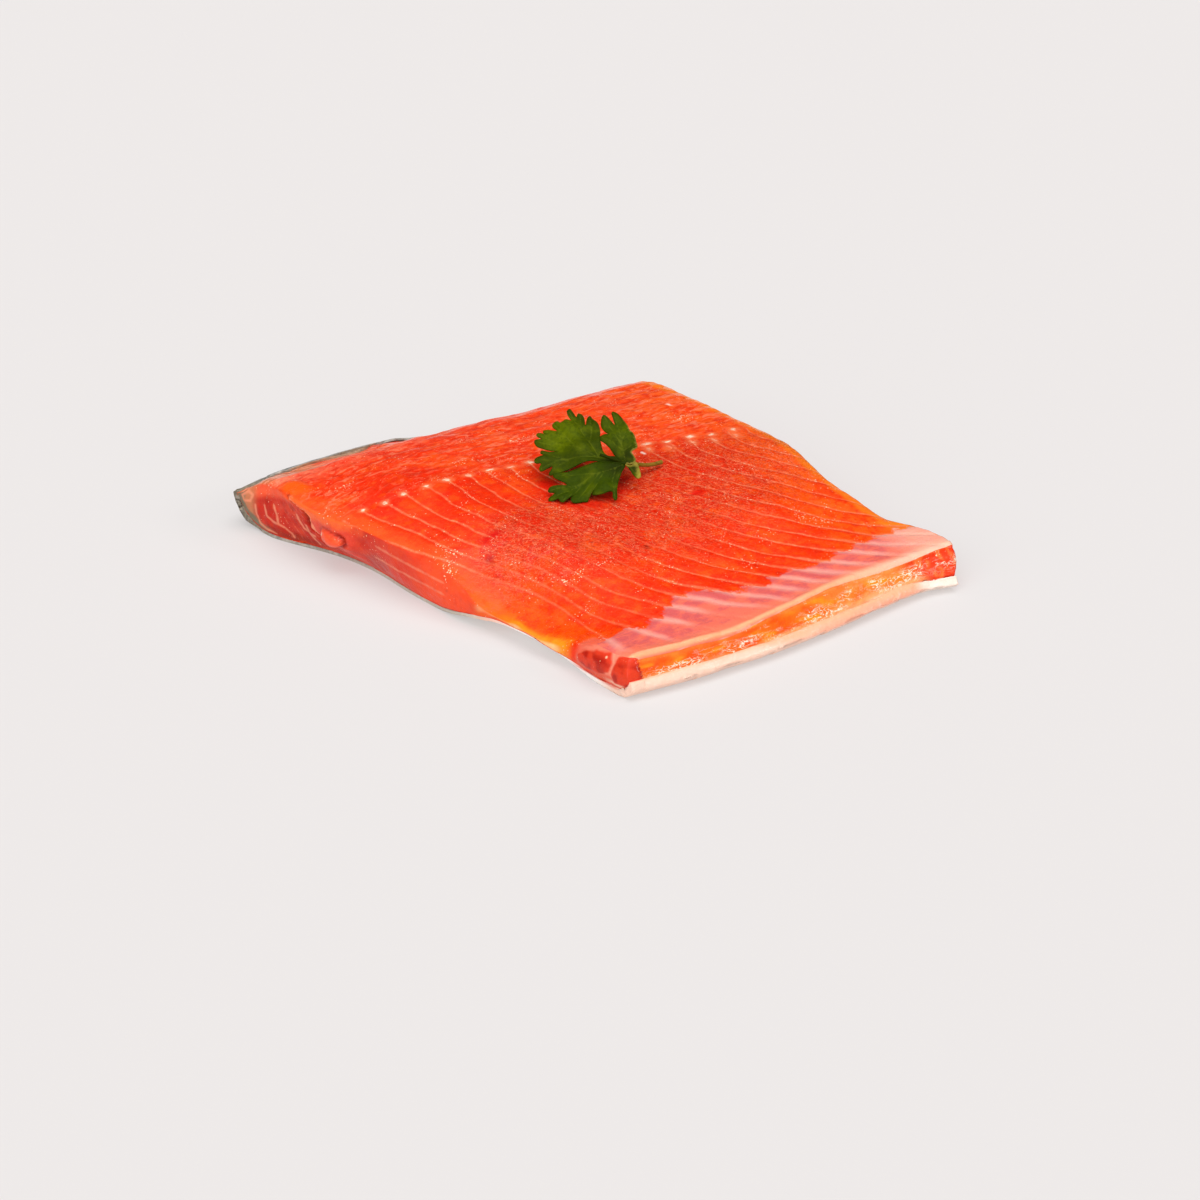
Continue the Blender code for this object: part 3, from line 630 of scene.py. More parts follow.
# Each pattern: its name, what is done, what it reads, and the numbers. STEP and SPREAD turn the range
# of the first two numbers into that of the last two, softly or evenly. The rest are maths.
PATTERNS = (
    # Mottling all over, and streaks and furrows in the loin, with the furrows painted darker as shade
    ("red_patch", "STEP", "patches", 0.5, 0.62, 0, 0.6),
    ("orange_patch", "STEP", "patches", 0.48, 0.36, 0, 0.5),
    ("dark_mottle", "STEP", "mottles", 0.5, 0.66, 0, 0.5),
    ("light_mottle", "STEP", "mottles", 0.46, 0.3, 0, 0.5),
    ("streak", "STEP", "streaks", 0.5, 0.64, 0, 0.6),
    ("loin_streak", "MULTIPLY", "streak", "loin"),
    ("furrow_shade", "STEP", "streaks", 0.48, 0.34, 0, 0.55),
    ("loin_furrow_shade", "MULTIPLY", "furrow_shade", "loin"),
    # Short fibres stand up out of the grainy middle, with dark red gaps between them, painted as shade
    ("off_fibre", "SUBTRACT", "wool", 0.5),
    ("from_fibre", "ABSOLUTE", "off_fibre"),
    ("fibre", "STEP", "from_fibre", 0.01, 0.05, 0.82, 0),
    ("pit_shade", "STEP", "nap", 0.47, 0.38, 0, 0.52),
    ("nap_shows", "SPREAD", "grain", 0, 1, 0.12, 0.9),
    ("fibre_shows", "MULTIPLY", "fibre", "nap_shows"),
    ("pit_shade_shows", "MULTIPLY", "pit_shade", "nap_shows"),
    # The sheets between the flakes: a line where the number is whole, as wide as the attribute says
    ("shifted", "MULTIPLY_ADD", "waver", 0.5, "sheet"),
    ("centred", "SUBTRACT", "shifted", 0.25),
    ("off_sheet", "PINGPONG", "centred", 0.5),
    ("sheet_mm", "DIVIDE", "off_sheet", "sheets_per_mm"),
    ("frayed", "MULTIPLY_ADD", "nap", 0.5, "sheet_mm"),
    ("from_line", "SUBTRACT", "frayed", 0.25),
    ("line", "STEP", "from_line", 0, "line_width", 1, 0),
    # Painted shade: one side of each flake is darker, towards the next sheet
    ("past_sheet", "FRACT", "centred"),
    ("flake_shade_side", "STEP", "past_sheet", 0.55, 1, 0, 0.55),
    ("flake_shade_shows", "MULTIPLY", "flake_shade_side", "sheet_shows"),
    ("gaps", "SPREAD", "mottles", 0.3, 0.6, 0.95, 0.35),
    ("line_here", "MULTIPLY", "line", "sheet_shows"),
    ("line_shows", "MULTIPLY", "line_here", "gaps"),
    # The ends of the pin bones, each a cream dot in a paler ring, and the pale lines in the cuts
    ("ragged", "MULTIPLY_ADD", "nap", 1.6, "from_pin"),
    ("pin", "STEP", "ragged", 1, 1.9, 0.95, 0),
    ("pin_ring", "STEP", "ragged", 1.4, 3.2, 0.55, 0),
    ("cut_waver", "MULTIPLY_ADD", "mottles", 0.6, "from_cut_line"),
    ("cut_line", "STEP", "cut_waver", 0.32, 0.95, 0.75, 0),
    # Painted glints: small bright flecks in the colour, most of them along the sheets
    ("beaded", "MULTIPLY_ADD", "glint_fields", 0.5, "glint_noise"),
    ("beaded", "MULTIPLY_ADD", "line_here", 0.06, "beaded"),
    ("beaded", "MULTIPLY_ADD", "glint_spots", 0.065, "beaded"),
    ("beaded", "MULTIPLY_ADD", "plain", -0.03, "beaded"),
    ("bead", "STEP", "beaded", 0.99, 1.05, 0, 0.85),
    # The lining: a pink film with a torn edge, mauve patches, and broad pale bands on the sheets
    ("torn_edge", "MULTIPLY_ADD", "mottles", 4.2, "past_lining"),
    ("torn_edge", "MULTIPLY_ADD", "patches", 4.4, "torn_edge"),
    ("torn_edge", "MULTIPLY_ADD", "past_sheet", 1.9, "torn_edge"),
    ("lining", "STEP", "torn_edge", 4.8, 5.8, 0, 0.95),
    ("near_edge", "MULTIPLY_ADD", "past_lining", -0.016, "veins"),
    ("mauve", "STEP", "near_edge", 0.3, 0.52, 0, 0.78),
    ("peach", "STEP", "past_rim", -4, -0.5, 0, 0.5),
    ("band", "STEP", "sheet_mm", 0, 2, 0.62, 0),
    ("band_fades", "STEP", "past_lining", 5, 12, 1, 0),
    ("band_shows", "MULTIPLY", "band", "band_fades"),
    ("tail_corner", "STEP", "along_fish", 42 * MM, 57 * MM, 0, 0.7),
    # The rim of fat along the belly, wider and paler towards the tail
    ("tailward", "STEP", "along_fish", 16 * MM, 48 * MM, 0, 0.85),
    ("rim_width", "SPREAD", "along_fish", 0, 56 * MM, 0.7, 3),
    ("from_rim", "ABSOLUTE", "past_rim"),
    ("rim", "STEP", "from_rim", 0, "rim_width", 0.9, 0),
    ("rim_shows", "MULTIPLY", "rim", "lining"),
    # The strands of tissue on the belly face: pale tissue, painted near white as its glossy highlights
    ("off_strand", "SUBTRACT", "tissue", 0.5),
    ("from_strand", "ABSOLUTE", "off_strand"),
    ("strand", "STEP", "from_strand", 0, 0.045, 1, 0),
    ("strand_field", "STEP", "glint_fields", 0.43, 0.55, 0.15, 1),
    ("strand_here", "MULTIPLY", "strand", "strands"),
    ("strand_and_glint_shows", "MULTIPLY", "strand_here", "strand_field"),
    # The fine relief, each term as a height in millimetres
    ("nap_height", "SPREAD", "grain", 0, 1, 0.1, 0.5),
    ("rise", "MULTIPLY", "mottles", 0.35),
    ("rise", "MULTIPLY_ADD", "nap", "nap_height", "rise"),
    ("rise", "MULTIPLY_ADD", "streaks", 0.2, "rise"),
    ("rise", "MULTIPLY_ADD", "fibre_shows", 0.1, "rise"),
    ("rise", "MULTIPLY_ADD", "line_shows", -0.1, "rise"),
    ("rise", "MULTIPLY_ADD", "pin", 0.2, "rise"),
    ("rise", "MULTIPLY_ADD", "strand_and_glint_shows", 0.02, "rise"),
)
RANGES = {"STEP": "SMOOTHSTEP", "SPREAD": "LINEAR"}
for name, rule, *reads in PATTERNS:
    feeds = {place: looks.get(value, value) for place, value in enumerate(reads)}
    if rule in RANGES:
        looks[name] = add_node(tree, "MapRange", 0, feeds, interpolation_type=RANGES[rule])
    else:
        looks[name] = add_node(tree, "Math", 0, feeds, operation=rule)

# The colours of the lining and the rim, and those of the flesh with both laid over it at the end
SHADES = {
    "lining": ("#f4745e", (
        ("mauve", "#d05a60"), ("peach", "#f78c66"), ("band_shows", "#fbb4a4"), ("tail_corner", "#fbb8a0"),
    )),
    "rim": ("#ffb484", (("tailward", "#fdc6ae"),)),
    "flesh": ("tint", (
        ("red_patch", "#ea2200"), ("orange_patch", "#ff5a0c"), ("dark_mottle", "#d41e00"),
        ("light_mottle", "#ff5c1c"), ("loin_furrow_shade", "#e02c0c"), ("loin_streak", "#ff8864"),
        ("flake_shade_shows", "#e02200"), ("pit_shade_shows", "#bc1600"), ("fibre_shows", "#ff7e56"),
        ("plain", "tint"), ("line_shows", "#ff865c"), ("bead", "#ffe0b8"), ("pin_ring", "#ff8a58"),
        ("pin", "#ffe2c4"), ("cut_line", "#f29470"), ("strand_and_glint_shows", "#fff0d8"),
        ("lining", "lining"), ("rim_shows", "rim"),
    )),
}
shades = {"tint": tint}
for name, (ground, layers) in SHADES.items():
    shade = shades[ground] if ground in shades else (*colour(ground), 1)
    for amount, over in layers:
        over = shades[over] if over in shades else (*colour(over), 1)
        shade = add_node(tree, "Mix", 2, {0: looks[amount], 6: shade, 7: over}, data_type="RGBA")
    shades[name] = shade

bumps = add_node(tree, "Bump", 0, {"Height": looks["rise"], "Strength": 1, "Distance": MM})
wet = add_node(tree, "BsdfPrincipled", 0, {
    "Base Color": shades["flesh"], "Roughness": 0.4, "IOR": 1.38, "Specular IOR Level": 0.05,
    "Subsurface Weight": 0.1, "Subsurface Radius": (1.0, 0.25, 0.12), "Subsurface Scale": 1.0 * MM,
    "Coat Weight": 0.45, "Coat Roughness": 0.08, "Coat IOR": 1.33, "Normal": bumps,
})
add_node(tree, "OutputMaterial", 0, {"Surface": wet})
flesh.data.materials.append(raw_flesh)
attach(flesh, "root")
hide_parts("flesh")

# The skin
# The salmon's own skin, grown to the flesh above it. It is silver-grey with small scales at the back,
# where a strip of it wraps up over the edge, and turns into a thicker cream-white hem at the belly.

skin = merged_copy("skin", "salmon_skin")
crease_sharp_edges(skin, 1.0)
bpy.ops.object.mode_set(mode="EDIT")
bpy.ops.mesh.select_all(action="SELECT")
bpy.ops.mesh.subdivide(number_cuts=3, smoothness=0)
bpy.ops.object.mode_set(mode="OBJECT")
bpy.ops.object.shade_smooth()

# The hem thins out against the flesh above it, and its upper border is uneven. Its inner side, which is
# the one close to the flesh, goes a little way into it.
CLOSE = 0.5
SUNK = 0.4
places = places_of(skin)
x, y, z = places.T
hem = np.clip(ramp(-44, -58, y) + ramp(-30, -40, x) * ramp(-10, -20, y), 0, 1)
tail_thin = ramp(42, 50, x)
creep = hem * ramp(2.6, 4.2, z) * (0.5 + 0.5 * lumps(places, (8, 8, 8), 21)) * (1 - tail_thin)
creep -= hem * tail_thin * ramp(1.6, 3.2, z) * 0.8
raised = places.copy()
raised[:, 2] += creep
bpy.context.view_layer.update()
for i in np.flatnonzero((hem > 0) & (z > 1.6)):
    hit, near, facing, face = flesh.closest_point_on_mesh(Vector(raised[i] * MM))
    near = np.array(near) / MM
    if np.linalg.norm(raised[i] - near) < CLOSE:
        near -= np.array(facing) * SUNK
        thin = hem[i]
    else:
        thin = hem[i] * 0.75 * ramp(2.2, 4.2, z[i])
    raised[i] += (near - raised[i]) * thin

# Round the fillet's tip, at the back of the head end, the skin's outer side is thick and blunt
OUTER = 0.8
skin_facings = facings_of(skin)
blunt = 0.9 * ramp(57, 64, y) * ramp(-50, -56, x) * ramp(0.5, 2.5, z) * ramp(9.5, 8, z)
for i in np.flatnonzero(blunt > 0):
    near = flesh.closest_point_on_mesh(Vector(places[i] * MM))[1]
    if (near / MM - Vector(places[i])).length > OUTER:
        raised[i] += skin_facings[i] * blunt[i]

# The strip over the back edge is narrower than the ledge it lies on, and crinkled
strip = ramp(10.5, 12, z) * ramp(56, 59, y)
raised[:, 1] += strip * 0.55 * np.clip(66 - y, 0, 8) * ramp(-8, -16, x)
raised[:, 2] -= strip * (0.3 + 0.25 * lumps(places, (4, 3, 4), 22))
move_points(skin, raised)

# The colours, in the order they are laid on: the back, the belly and its hem, and the ends
back = ramp(22, 42, y)
mottled = lumps(places, (3, 1.5, 1.5), 23)
upper_hem = hem * ramp(2.9, 3.9, z + 0.7 * lumps(places, (6, 6, 1.5), 24))
lower_hem = hem * ramp(3.4, 2.2, z + 0.8 * ramp(-15, 15, x) - 1.3 * ramp(20, -12, x))
belly_corner = ramp(-36, -39, x)
keep(skin, "silver", back)
keep(skin, "tint", painted("#cdbfb0", [
    ("#b8b3a8", back),
    ("#84857e", back * ramp(4, 11, z) * ramp(60, 66, y)),
    ("#7c786e", back * ramp(0, 0.5, mottled) * 0.6),
    ("#d8d3ca", back * ramp(0.05, 0.4, -mottled) * 0.7),
    ("#b08a6c", back * ramp(1.5, 0, y - 60 + 2 * mottled) * ramp(11, 12, z)),
    ("#f4cfb6", ramp(-20, -45, y)),
    ("#ffb898", hem * ramp(0.9, 2.6, z)),
    ("#ffa888", hem * ramp(5, 30, x) * ramp(1.4, 2.6, z) * ramp(52, 44, x) * 0.8),
    ("#ffb488", upper_hem * (0.3 + 0.4 * ramp(-5, 20, x))),
    ("#f5ccb6", lower_hem * ramp(-14, -26, y) * 0.9),
    ("#fffaf4", belly_corner * ramp(-14, -26, y) * ramp(-60, -50, y)),
    ("#e4583c", belly_corner * ramp(-42, -48, y) * ramp(-61, -57, y) * ramp(1, 1.5, z)),
    ("#8c7e68", ramp(56, 61, y) * ramp(-50, -55, x) * 0.85),
    ("#b8b0a2", ramp(-44, -47, x) * ramp(57, 52, y) * ramp(-14, -6, y) * ramp(3.4, 2.2, z) * 0.8),
    ("#f6e8dc", hem * ramp(44, 50, x) * 0.8),
]))

# Salmon skin, scaled and wet: thin silver scales over dark grey, fading to plain cream at the belly
raw_skin, tree = new_material("raw_salmon_skin")
where = add_node(tree, "TexCoord", "Object")
tint = add_node(tree, "Attribute", "Color", attribute_name="tint")
silver = add_node(tree, "Attribute", "Fac", attribute_name="silver")
scale_rows = add_node(tree, "Mapping", 0, {"Vector": where, "Scale": (0.6, 1, 1)})
scales = add_node(tree, "TexVoronoi", 0, {
    "Vector": scale_rows, "Scale": per_metre(1.1), "Randomness": 0.6})
scale_edge = add_node(tree, "MapRange", 0, {
    0: scales, 1: 0.3, 2: 0.7, 4: 0.35}, interpolation_type="SMOOTHSTEP")
edge_shows = add_node(tree, "Math", 0, {0: scale_edge, 1: silver}, operation="MULTIPLY")
wrinkles = add_node(tree, "TexNoise", 0, {
    "Vector": where, "Scale": per_metre(1.6), "Detail": 4, "Roughness": 0.6})
fleck = add_node(tree, "MapRange", 0, {
    0: wrinkles, 1: 0.52, 2: 0.68, 4: 0.25}, interpolation_type="SMOOTHSTEP")
shade = tint
for amount, over in ((edge_shows, "#55564e"), (fleck, "#e8ddd2")):
    over = (*colour(over), 1)
    shade = add_node(tree, "Mix", 2, {0: amount, 6: shade, 7: over}, data_type="RGBA")
shine = add_node(tree, "Math", 0, {0: silver, 1: 0.3}, operation="MULTIPLY")
dull = add_node(tree, "MapRange", 0, {0: wrinkles, 1: 0.3, 2: 0.7, 3: 0.25, 4: 0.42})
rise = add_node(tree, "Math", 0, {0: edge_shows, 1: -0.15}, operation="MULTIPLY")
rise = add_node(tree, "Math", 0, {0: wrinkles, 1: 0.4, 2: rise}, operation="MULTIPLY_ADD")
bumps = add_node(tree, "Bump", 0, {"Height": rise, "Strength": 1, "Distance": MM})
wet_skin = add_node(tree, "BsdfPrincipled", 0, {
    "Base Color": shade, "Metallic": shine, "Roughness": dull, "IOR": 1.4, "Specular IOR Level": 0.3,
    "Coat Weight": 0.35, "Coat Roughness": 0.1, "Coat IOR": 1.33, "Normal": bumps,
})
add_node(tree, "OutputMaterial", 0, {"Surface": wet_skin})
skin.data.materials.append(raw_skin)
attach(skin, "root")
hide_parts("skin")

# The coriander leaf
# One fresh leaf of three leaflets, each cut into rounded fingers, on a short stalk. It grew as one thin
# blade with ribs, was picked, and lies on the flesh as a garnish, with one corner folded over.

LEAF_JOINT = np.array((6.9, -2.3, 24.0))
BLADE_RIGHT = np.array((0.788, -0.616, 0.0))
BLADE_UP = np.array((0.558, 0.714, 0.423))
BLADE_OFF = np.cross(BLADE_RIGHT, BLADE_UP)
BLADE_THICKNESS = 0.24

# Each leaflet's outline, in millimetres from the joint along the blade: to its right and up it
LEAFLETS = {
    "end": (
        (-3, -0.5), (0, -0.7), (0.3, 0.2), (-2.3, 1.7), (-3.7, 1.8), (-4.9, 3.2), (-5.5, 5), (-5.9, 8),
        (-5.9, 10.7), (-6.4, 12.8), (-7.6, 14.6), (-8.3, 16.3), (-9.1, 15.7), (-9.5, 12.6), (-9.8, 15.8),
        (-10.4, 17.2), (-11.4, 17.4), (-11.8, 16.2), (-12.5, 17.3), (-13.4, 18.3), (-14.1, 17.6),
        (-13.8, 16.2), (-12.9, 14.5), (-14.4, 14.7), (-15.6, 13.6), (-16.5, 14.2), (-17.6, 13.7),
        (-17.6, 12.6), (-16.5, 10.9), (-18.5, 11.9), (-19.8, 12), (-19.9, 11.1), (-19.2, 10.4), (-21, 10.7),
        (-21.6, 9.9), (-21.1, 8.9), (-20.2, 8.5), (-21.8, 7.8), (-22, 6.8), (-21.3, 5.8), (-19.8, 5.5),
        (-16.2, 4.9), (-18.6, 4.7), (-20.2, 4.8), (-20.5, 3.9), (-19.6, 3.1), (-21.6, 1.8), (-22, 0.8),
        (-21.4, 0.1), (-20.3, 0), (-20.8, -1.4), (-19.9, -2), (-17.5, -0.5), (-18.4, -2.9), (-17.4, -3.5),
        (-14.5, -1.9), (-10.4, -0.4), (-6.9, 0),
    ),
    "low": (
        (0.2, -0.9), (-3, -0.2), (-6.3, -0.3), (-8.8, -1.5), (-12, -2.2), (-14.2, -3.1), (-16.1, -3.6),
        (-17.3, -4.5), (-16.8, -5.8), (-14, -7), (-16, -7.6), (-18, -8.1), (-18.5, -9.2), (-16.9, -9.9),
        (-18.3, -11.2), (-18.1, -12.3), (-16.1, -12), (-15.5, -12.9), (-14.5, -13), (-12.4, -10.7),
        (-13, -12.2), (-12.5, -13.1), (-11.4, -13), (-10, -12.4), (-9.1, -12.4), (-8.6, -11.2),
        (-7.5, -8.8), (-7.7, -10.4), (-5.4, -10.6), (-3, -9.8), (-2.8, -11.4), (-2.2, -12.2), (-1.7, -11.3),
        (-1.8, -9.2), (-1.4, -6), (-0.6, -3.2),
    ),
    "far": (
        (-0.1, -0.3), (-2.3, 1.9), (-3.4, 4.3), (-4.5, 5.8), (-5.9, 7.2), (-6, 8.6), (-4.8, 9.1), (-4, 8.9),
        (-5, 10.4), (-5.7, 12), (-5.5, 14.4), (-4.9, 15.2), (-3.9, 14.1), (-2.3, 11.8), (-2.7, 14),
        (-3.1, 16), (-2.6, 16.7), (-1.3, 15.5), (-0.2, 14), (0.9, 12.2), (1.4, 10), (2.3, 8.9), (2.9, 6.9),
        (3.2, 4.6), (1.8, 3.2), (2.4, 1.7), (2.8, 0.4), (1.8, -0.8),
    ),
    "folded": (
        (0.2, -0.6), (1.6, -1.2), (2.8, -0.1), (3.5, -1.6), (4, -4.8), (3.3, -5.5), (2.4, -4.6),
        (1.3, -2.3),
    ),
}

# The ribs of each leaflet, from its foot to the tips of its fingers
RIBS = {
    "end": (
        ((-6, 1.5), (-11, 4), (-16, 7.5), (-21.2, 9.9)), ((-11, 4), (-14, 8.5), (-17.2, 13.3)),
        ((-16, 7.5), (-21.6, 7.2)), ((-14, 8.5), (-19.6, 11.6)),
        ((-6, 1.5), (-8.5, 6), (-11, 11.5), (-13.6, 17.7)), ((-10.5, 10.5), (-10.9, 17)),
        ((-8.5, 6), (-8, 11), (-8.5, 15.8)), ((-6, 1.5), (-11, 1.8), (-16, 1.6), (-21.6, 1)),
        ((-14, 1.7), (-20.1, 4)), ((-13, 1.7), (-16, 0.2), (-18, -2.9)), ((-16, 1.6), (-20.4, -1.4)),
    ),
    "low": (
        ((0, -0.7), (-7, -4), (-12, -7), (-18, -9)), ((-7, -4), (-12, -3.8), (-16.9, -4.8)),
        ((-9, -5.2), (-13.5, -9), (-17.9, -11.8)), ((-9, -5.2), (-12, -9.5), (-14.9, -12.7)),
        ((-6, -3.6), (-9, -8), (-12, -12.6)), ((-5, -3), (-7, -8), (-9.2, -12)),
        ((-2, -1.6), (-3, -6), (-2.3, -11.8)),
    ),
    "far": (
        ((0.3, 0), (-0.5, 5), (-1.3, 10), (-2.7, 16.2)), ((-0.5, 5), (-2.5, 9), (-4.9, 14.7)),
        ((-0.3, 3.5), (-3, 6.5), (-5.7, 8.4)), ((-0.6, 6), (1, 11.8)), ((-0.3, 3.5), (1.5, 5), (2.9, 6.7)),
    ),
    "folded": (((0.3, -0.8), (2.4, -3), (3.5, -5)),),
}

# How far each leaflet droops at its far end, in millimetres, and its green
DROOP = {"end": 1.44, "low": 0.24, "far": 1.28, "folded": 0.16}
LEAF_GREENS = {"end": "#364200", "low": "#344400", "far": "#414f00", "folded": "#465000"}


def rounded_outline(corners, cuts):
    """A closed outline with its corners rounded off: the curve goes through every one of them."""
    corners = np.array(corners, float)
    before, after, after_that = (np.roll(corners, places_on, axis=0) for places_on in (1, -1, -2))
    rows = []
    for s in np.arange(cuts) / cuts:
        squared = (2 * before - 5 * corners + 4 * after - after_that) * s ** 2
        cubed = (3 * corners - before - 3 * after + after_that) * s ** 3
        rows.append(0.5 * (2 * corners + (after - before) * s + squared + cubed))
    return np.stack(rows, axis=1).reshape(-1, 2)


# Each leaflet is filled with rows of points, which keep clear of its rim, and then given its form
SPACING = 0.5
ROW_SPACING = 0.87 * SPACING
RIM_CLEARANCE = 0.28
ABOVE_FLESH = 0.35
bpy.context.view_layer.update()
leaf_parts = []
for leaflet_name, corners in LEAFLETS.items():
    border = [tuple(place) for place in rounded_outline(corners, 4)]
    closed = border + border[:1]
    across, up = np.meshgrid(np.arange(-23, 5, SPACING), np.arange(-14, 19, ROW_SPACING))
    across = across + (np.arange(across.shape[0]) % 2)[:, None] * SPACING / 2
    inner = np.stack([across.ravel(), up.ravel()], axis=1)
    inner = inner[inside(inner, border) & (near_line(inner, closed) > RIM_CLEARANCE)]
    flat = [Vector(place) for place in np.vstack([border, inner])]
    filled = geometry.delaunay_2d_cdt(flat, [], [list(range(len(border)))], 1, 1e-6)
    flat = np.array([tuple(place) for place in filled[0]])
    right, up = flat.T

    # The blade's height off its flat plane: valleys on the ribs, slow waves, and a drooping rim
    from_rib = np.full(len(flat), FAR)
    for rib in RIBS[leaflet_name]:
        from_rib = np.minimum(from_rib, near_line(flat, rib))
    from_rim = near_line(flat, closed)
    from_joint = np.hypot(right, up)
    waves = 0.55 * np.sin(right * 0.55 + up * 0.25) + 0.3 * np.sin(up * 0.8 - right * 0.3 + 1)
    off = 0.25 * ramp(0, 0.9, from_rib) + waves * ramp(2, 9, from_joint)
    off -= DROOP[leaflet_name] * ramp(6, 20, from_joint) ** 2
    blade = LEAF_JOINT + right[:, None] * BLADE_RIGHT + up[:, None] * BLADE_UP + off[:, None] * BLADE_OFF
    for place in blade:
        hit, ground, facing, face = flesh.ray_cast(Vector((*place[:2] * MM, 0.05)), Vector((0, 0, -1)))
        place[2] = max(place[2], ground.z / MM + ABOVE_FLESH) if hit else place[2]
    mesh = bpy.data.meshes.new("leaflet_" + leaflet_name)
    mesh.from_pydata([tuple(place * MM) for place in blade], [], [list(face) for face in filled[2]])
    leaflet = bpy.data.objects.new("leaflet_" + leaflet_name, mesh)
    bpy.context.scene.collection.objects.link(leaflet)

    # It is painted darker at the joint, as shade, and it is darker at the rim, and two of the leaflets have
    # yellowed edges
    yellow_rim = ramp(0.3, 0.05, from_rim) * ramp(-1, 1, right) * (leaflet_name == "far")
    yellow_fold = np.maximum(ramp(-1.8, -1, up), ramp(2.6, 3.4, right)) * (leaflet_name == "folded")
    keep(leaflet, "from_rib", from_rib)
    keep(leaflet, "tint", painted(LEAF_GREENS[leaflet_name], [
        ("#1c2200", ramp(8, 2, from_joint) * 0.85),
        ("#2c3c00", ramp(0.8, 0.1, from_rim) * 0.6),
        ("#667200", ramp(0.05, 0.6, lumps(blade, 3, 3)) * 0.35),
        ("#667400", ramp(8, 3, np.hypot(right + 16, up - 10)) * 0.5),
        ("#a08c3c", yellow_rim * 0.8),
        ("#b8a040", yellow_fold * 0.6),
    ]))
    select_only(leaflet)
    thick = leaflet.modifiers.new("blade", "SOLIDIFY")
    thick.thickness = BLADE_THICKNESS * MM
    thick.offset = 0
    bpy.ops.object.modifier_apply(modifier=thick.name)
    bpy.ops.object.shade_smooth()
    leaf_parts.append(leaflet)

# The stalk runs under the blade and out to its cut end: steps from the joint, heights and radii
STALK = ((-4.6, 3.8, 26, 0.35), (-2.2, 1.6, 25, 0.45), (0, 0, 23.9, 0.5), (3, 0.6, 22.6, 0.5),
         (5.8, 1.1, 21.3, 0.48), (10, 1.7, 19.8, 0.48), (13.2, 1.8, 19.7, 0.55))
path = bpy.data.curves.new("stalk", "CURVE")
path.dimensions = "3D"
path.bevel_depth = 1 * MM
path.bevel_resolution = 4
path.use_fill_caps = True
run = path.splines.new("NURBS")
run.points.add(len(STALK) - 1)
for knot, (step_x, step_y, height, radius) in zip(run.points, STALK):
    knot.co = ((LEAF_JOINT[0] + step_x) * MM, (LEAF_JOINT[1] + step_y) * MM, height * MM, 1)
    knot.radius = radius
run.use_endpoint_u = True
run.order_u = 3
stalk = bpy.data.objects.new("stalk", path)
bpy.context.scene.collection.objects.link(stalk)
select_only(stalk)
bpy.ops.object.convert(target="MESH")
stalk = bpy.context.object
stalk_x = places_of(stalk)[:, 0]
keep(stalk, "from_rib", np.full(len(stalk_x), FAR))
# The stalk is brown at its cut end, and painted dark as shade where it runs under the blade at the joint
keep(stalk, "tint", painted("#5c6404", [("#8a6c24", ramp(9, 14, stalk_x)), ("#262e00", ramp(8, 6, stalk_x))]))
bpy.ops.object.shade_smooth()
for part in leaf_parts:
    part.select_set(True)
leaf = leaf_parts[0]
bpy.context.view_layer.objects.active = leaf
bpy.ops.object.join()
leaf.name = "coriander_leaf_blade"

# Fresh coriander: a thin green blade with paler ribs, slightly waxy
fresh_leaf, tree = new_material("fresh_coriander_leaf")
where = add_node(tree, "TexCoord", "Object")
tint = add_node(tree, "Attribute", "Color", attribute_name="tint")
off_rib = add_node(tree, "Attribute", "Fac", attribute_name="from_rib")
rib = add_node(tree, "MapRange", 0, {
    0: off_rib, 2: 0.25, 3: 0.25, 4: 0}, interpolation_type="SMOOTHSTEP")
cells = add_node(tree, "TexNoise", 0, {"Vector": where, "Scale": per_metre(0.9), "Detail": 3})
darker = add_node(tree, "MapRange", 0, {0: cells, 1: 0.45, 2: 0.7, 4: 0.5})
green = tint
for amount, over in ((darker, "#243400"), (rib, "#7c8420")):
    over = (*colour(over), 1)
    green = add_node(tree, "Mix", 2, {0: amount, 6: green, 7: over}, data_type="RGBA")
leaf_bumps = add_node(tree, "Bump", 0, {"Height": cells, "Strength": 1, "Distance": 0.15 * MM})
blade_surface = add_node(tree, "BsdfPrincipled", 0, {
    "Base Color": green, "Roughness": 0.55, "Specular IOR Level": 0.04, "Normal": leaf_bumps,
    "Subsurface Weight": 0.1, "Subsurface Radius": (0.4, 0.6, 0.1), "Subsurface Scale": 0.4 * MM,
})
add_node(tree, "OutputMaterial", 0, {"Surface": blade_surface})
leaf.data.materials.clear()
leaf.data.materials.append(fresh_leaf)
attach(leaf, "root")
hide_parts("coriander_leaf")

# The floor, the light and the camera
# A plain pale table in a pale studio, under three soft lamps, seen from the photograph's side.

FLOOR_SIZE = 4.0
bpy.ops.object.select_all(action="DESELECT")
bpy.ops.mesh.primitive_grid_add(x_subdivisions=8, y_subdivisions=8, size=FLOOR_SIZE, location=(0, 0, 0))
floor = bpy.context.object
floor.name = "pale_table"
bpy.ops.object.transform_apply(location=True, rotation=True, scale=True)

# The table's paint also glows a little, which keeps the fillet's shade on it soft and pale
table_paint, tree = new_material("pale_matt_table")
matt = add_node(tree, "BsdfDiffuse", 0, {"Color": (*colour("#a3a09f"), 1)})
glow = add_node(tree, "Emission", 0, {"Color": (*colour("#f0eceb"), 1), "Strength": 0.465})
lit_paint = add_node(tree, "AddShader", 0, {0: matt, 1: glow})
add_node(tree, "OutputMaterial", 0, {"Surface": lit_paint})
floor.data.materials.append(table_paint)

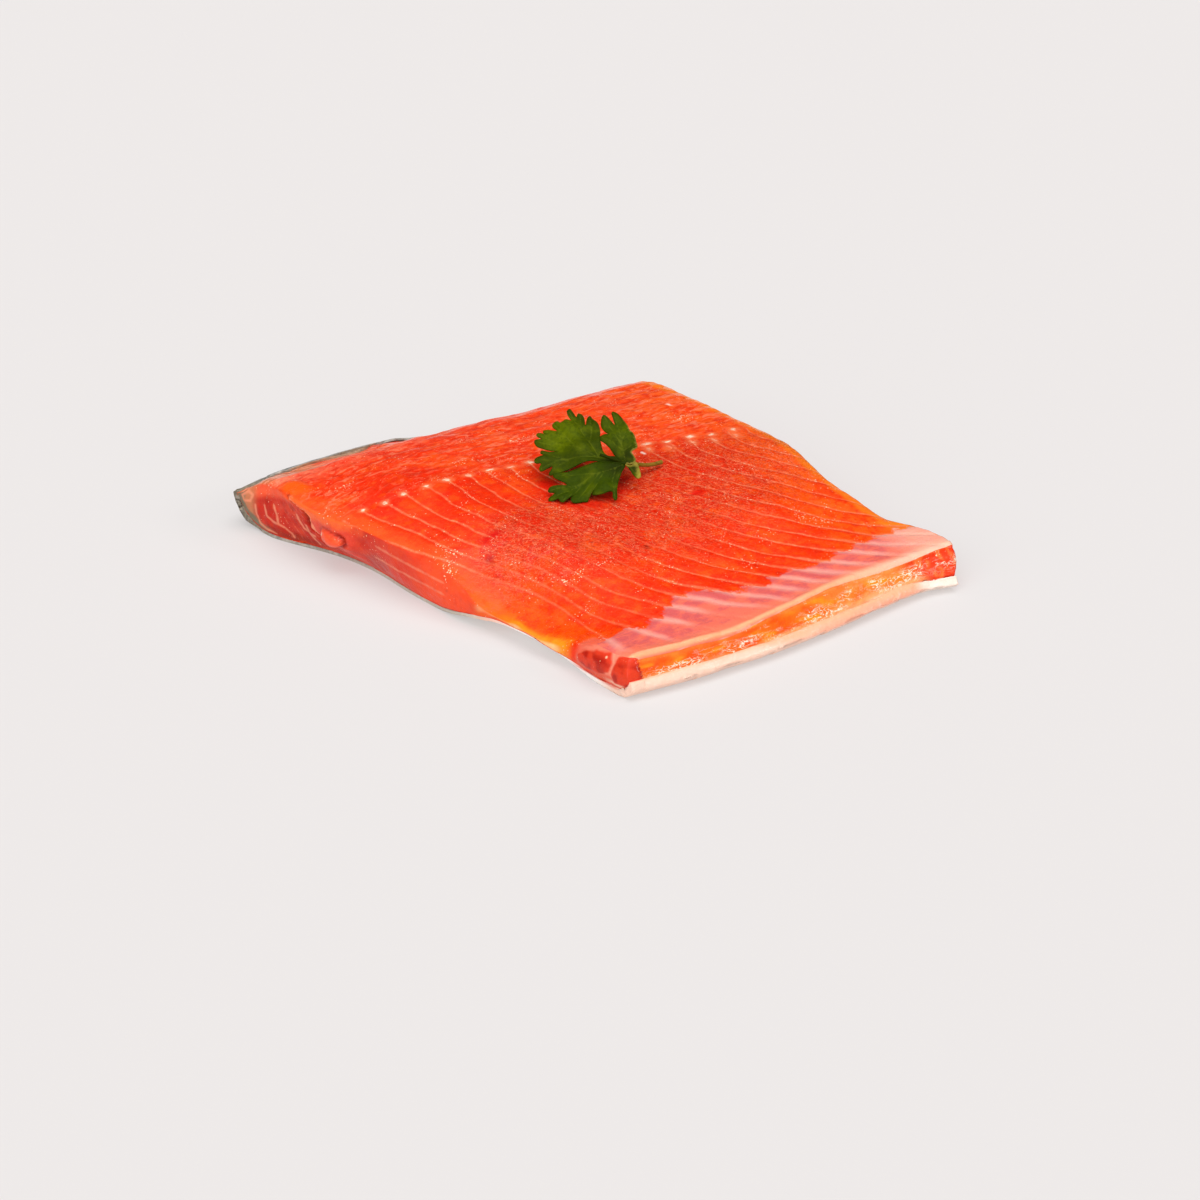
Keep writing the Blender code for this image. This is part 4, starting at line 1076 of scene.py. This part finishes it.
VIEW_AZIMUTH = math.radians(-38)
VIEW_ELEVATION = math.radians(27)
VIEW_DISTANCE = 0.8
LENS_LENGTH = 100
SENSOR_WIDTH = 36
AIM = Vector((-14.3, -19.8, 0)) * MM
towards_camera = Vector((
    math.sin(VIEW_AZIMUTH) * math.cos(VIEW_ELEVATION),
    -math.cos(VIEW_AZIMUTH) * math.cos(VIEW_ELEVATION),
    math.sin(VIEW_ELEVATION),
))
camera_lens = bpy.data.cameras.new("photo_lens")
camera_lens.lens = LENS_LENGTH
camera_lens.sensor_width = SENSOR_WIDTH
camera = bpy.data.objects.new("photo_camera", camera_lens)
camera.location = AIM + towards_camera * VIEW_DISTANCE
camera.rotation_euler = towards_camera.to_track_quat("Z", "Y").to_euler()
bpy.context.scene.collection.objects.link(camera)
bpy.context.scene.camera = camera

# Three soft lamps, each a direction towards the lamp, a strength and a width in degrees
LAMPS = {
    "key_softbox": ((0.1, -0.1, 1.0), 1.25, 50),
    "left_softbox": ((-0.85, -0.3, 0.45), 0.9, 50),
    "front_softbox": ((0.5, -0.75, 0.45), 0.5, 14),
}
for name, (to_lamp, strength, width) in LAMPS.items():
    light = bpy.data.lights.new(name, "SUN")
    light.energy = strength
    light.angle = math.radians(width)
    lamp = bpy.data.objects.new(name, light)
    lamp.rotation_euler = Vector(to_lamp).to_track_quat("Z", "Y").to_euler()
    bpy.context.scene.collection.objects.link(lamp)

# The studio's pale ceiling and the wall in front shine in the wet flesh, and the rest is dark
FRONT_WALL = (-0.68, -0.7, 0.22)
studio = bpy.data.worlds.new("pale_studio")
bpy.context.scene.world = studio
studio.use_nodes = True
tree = studio.node_tree
tree.nodes.clear()
heading = add_node(tree, "TexCoord", "Generated")
upwards = add_node(tree, "SeparateXYZ", "Z", {0: heading})
forwards = add_node(tree, "VectorMath", "Value", {
    0: heading, 1: FRONT_WALL}, operation="DOT_PRODUCT")
ceiling = add_node(tree, "MapRange", 0, {
    0: upwards, 1: 0.55, 2: 0.95, 3: 0.02, 4: 0.9}, interpolation_type="SMOOTHSTEP")
front = add_node(tree, "MapRange", 0, {
    0: forwards, 1: 0.1, 2: 0.9, 4: 0.85}, interpolation_type="SMOOTHSTEP")
shining = add_node(tree, "Math", 0, {0: ceiling, 1: front}, operation="ADD")
walls = add_node(tree, "Background", 0, {"Color": (1, 1, 1, 1), "Strength": shining})
add_node(tree, "OutputWorld", 0, {"Surface": walls})
bpy.context.scene.view_settings.view_transform = "Standard"
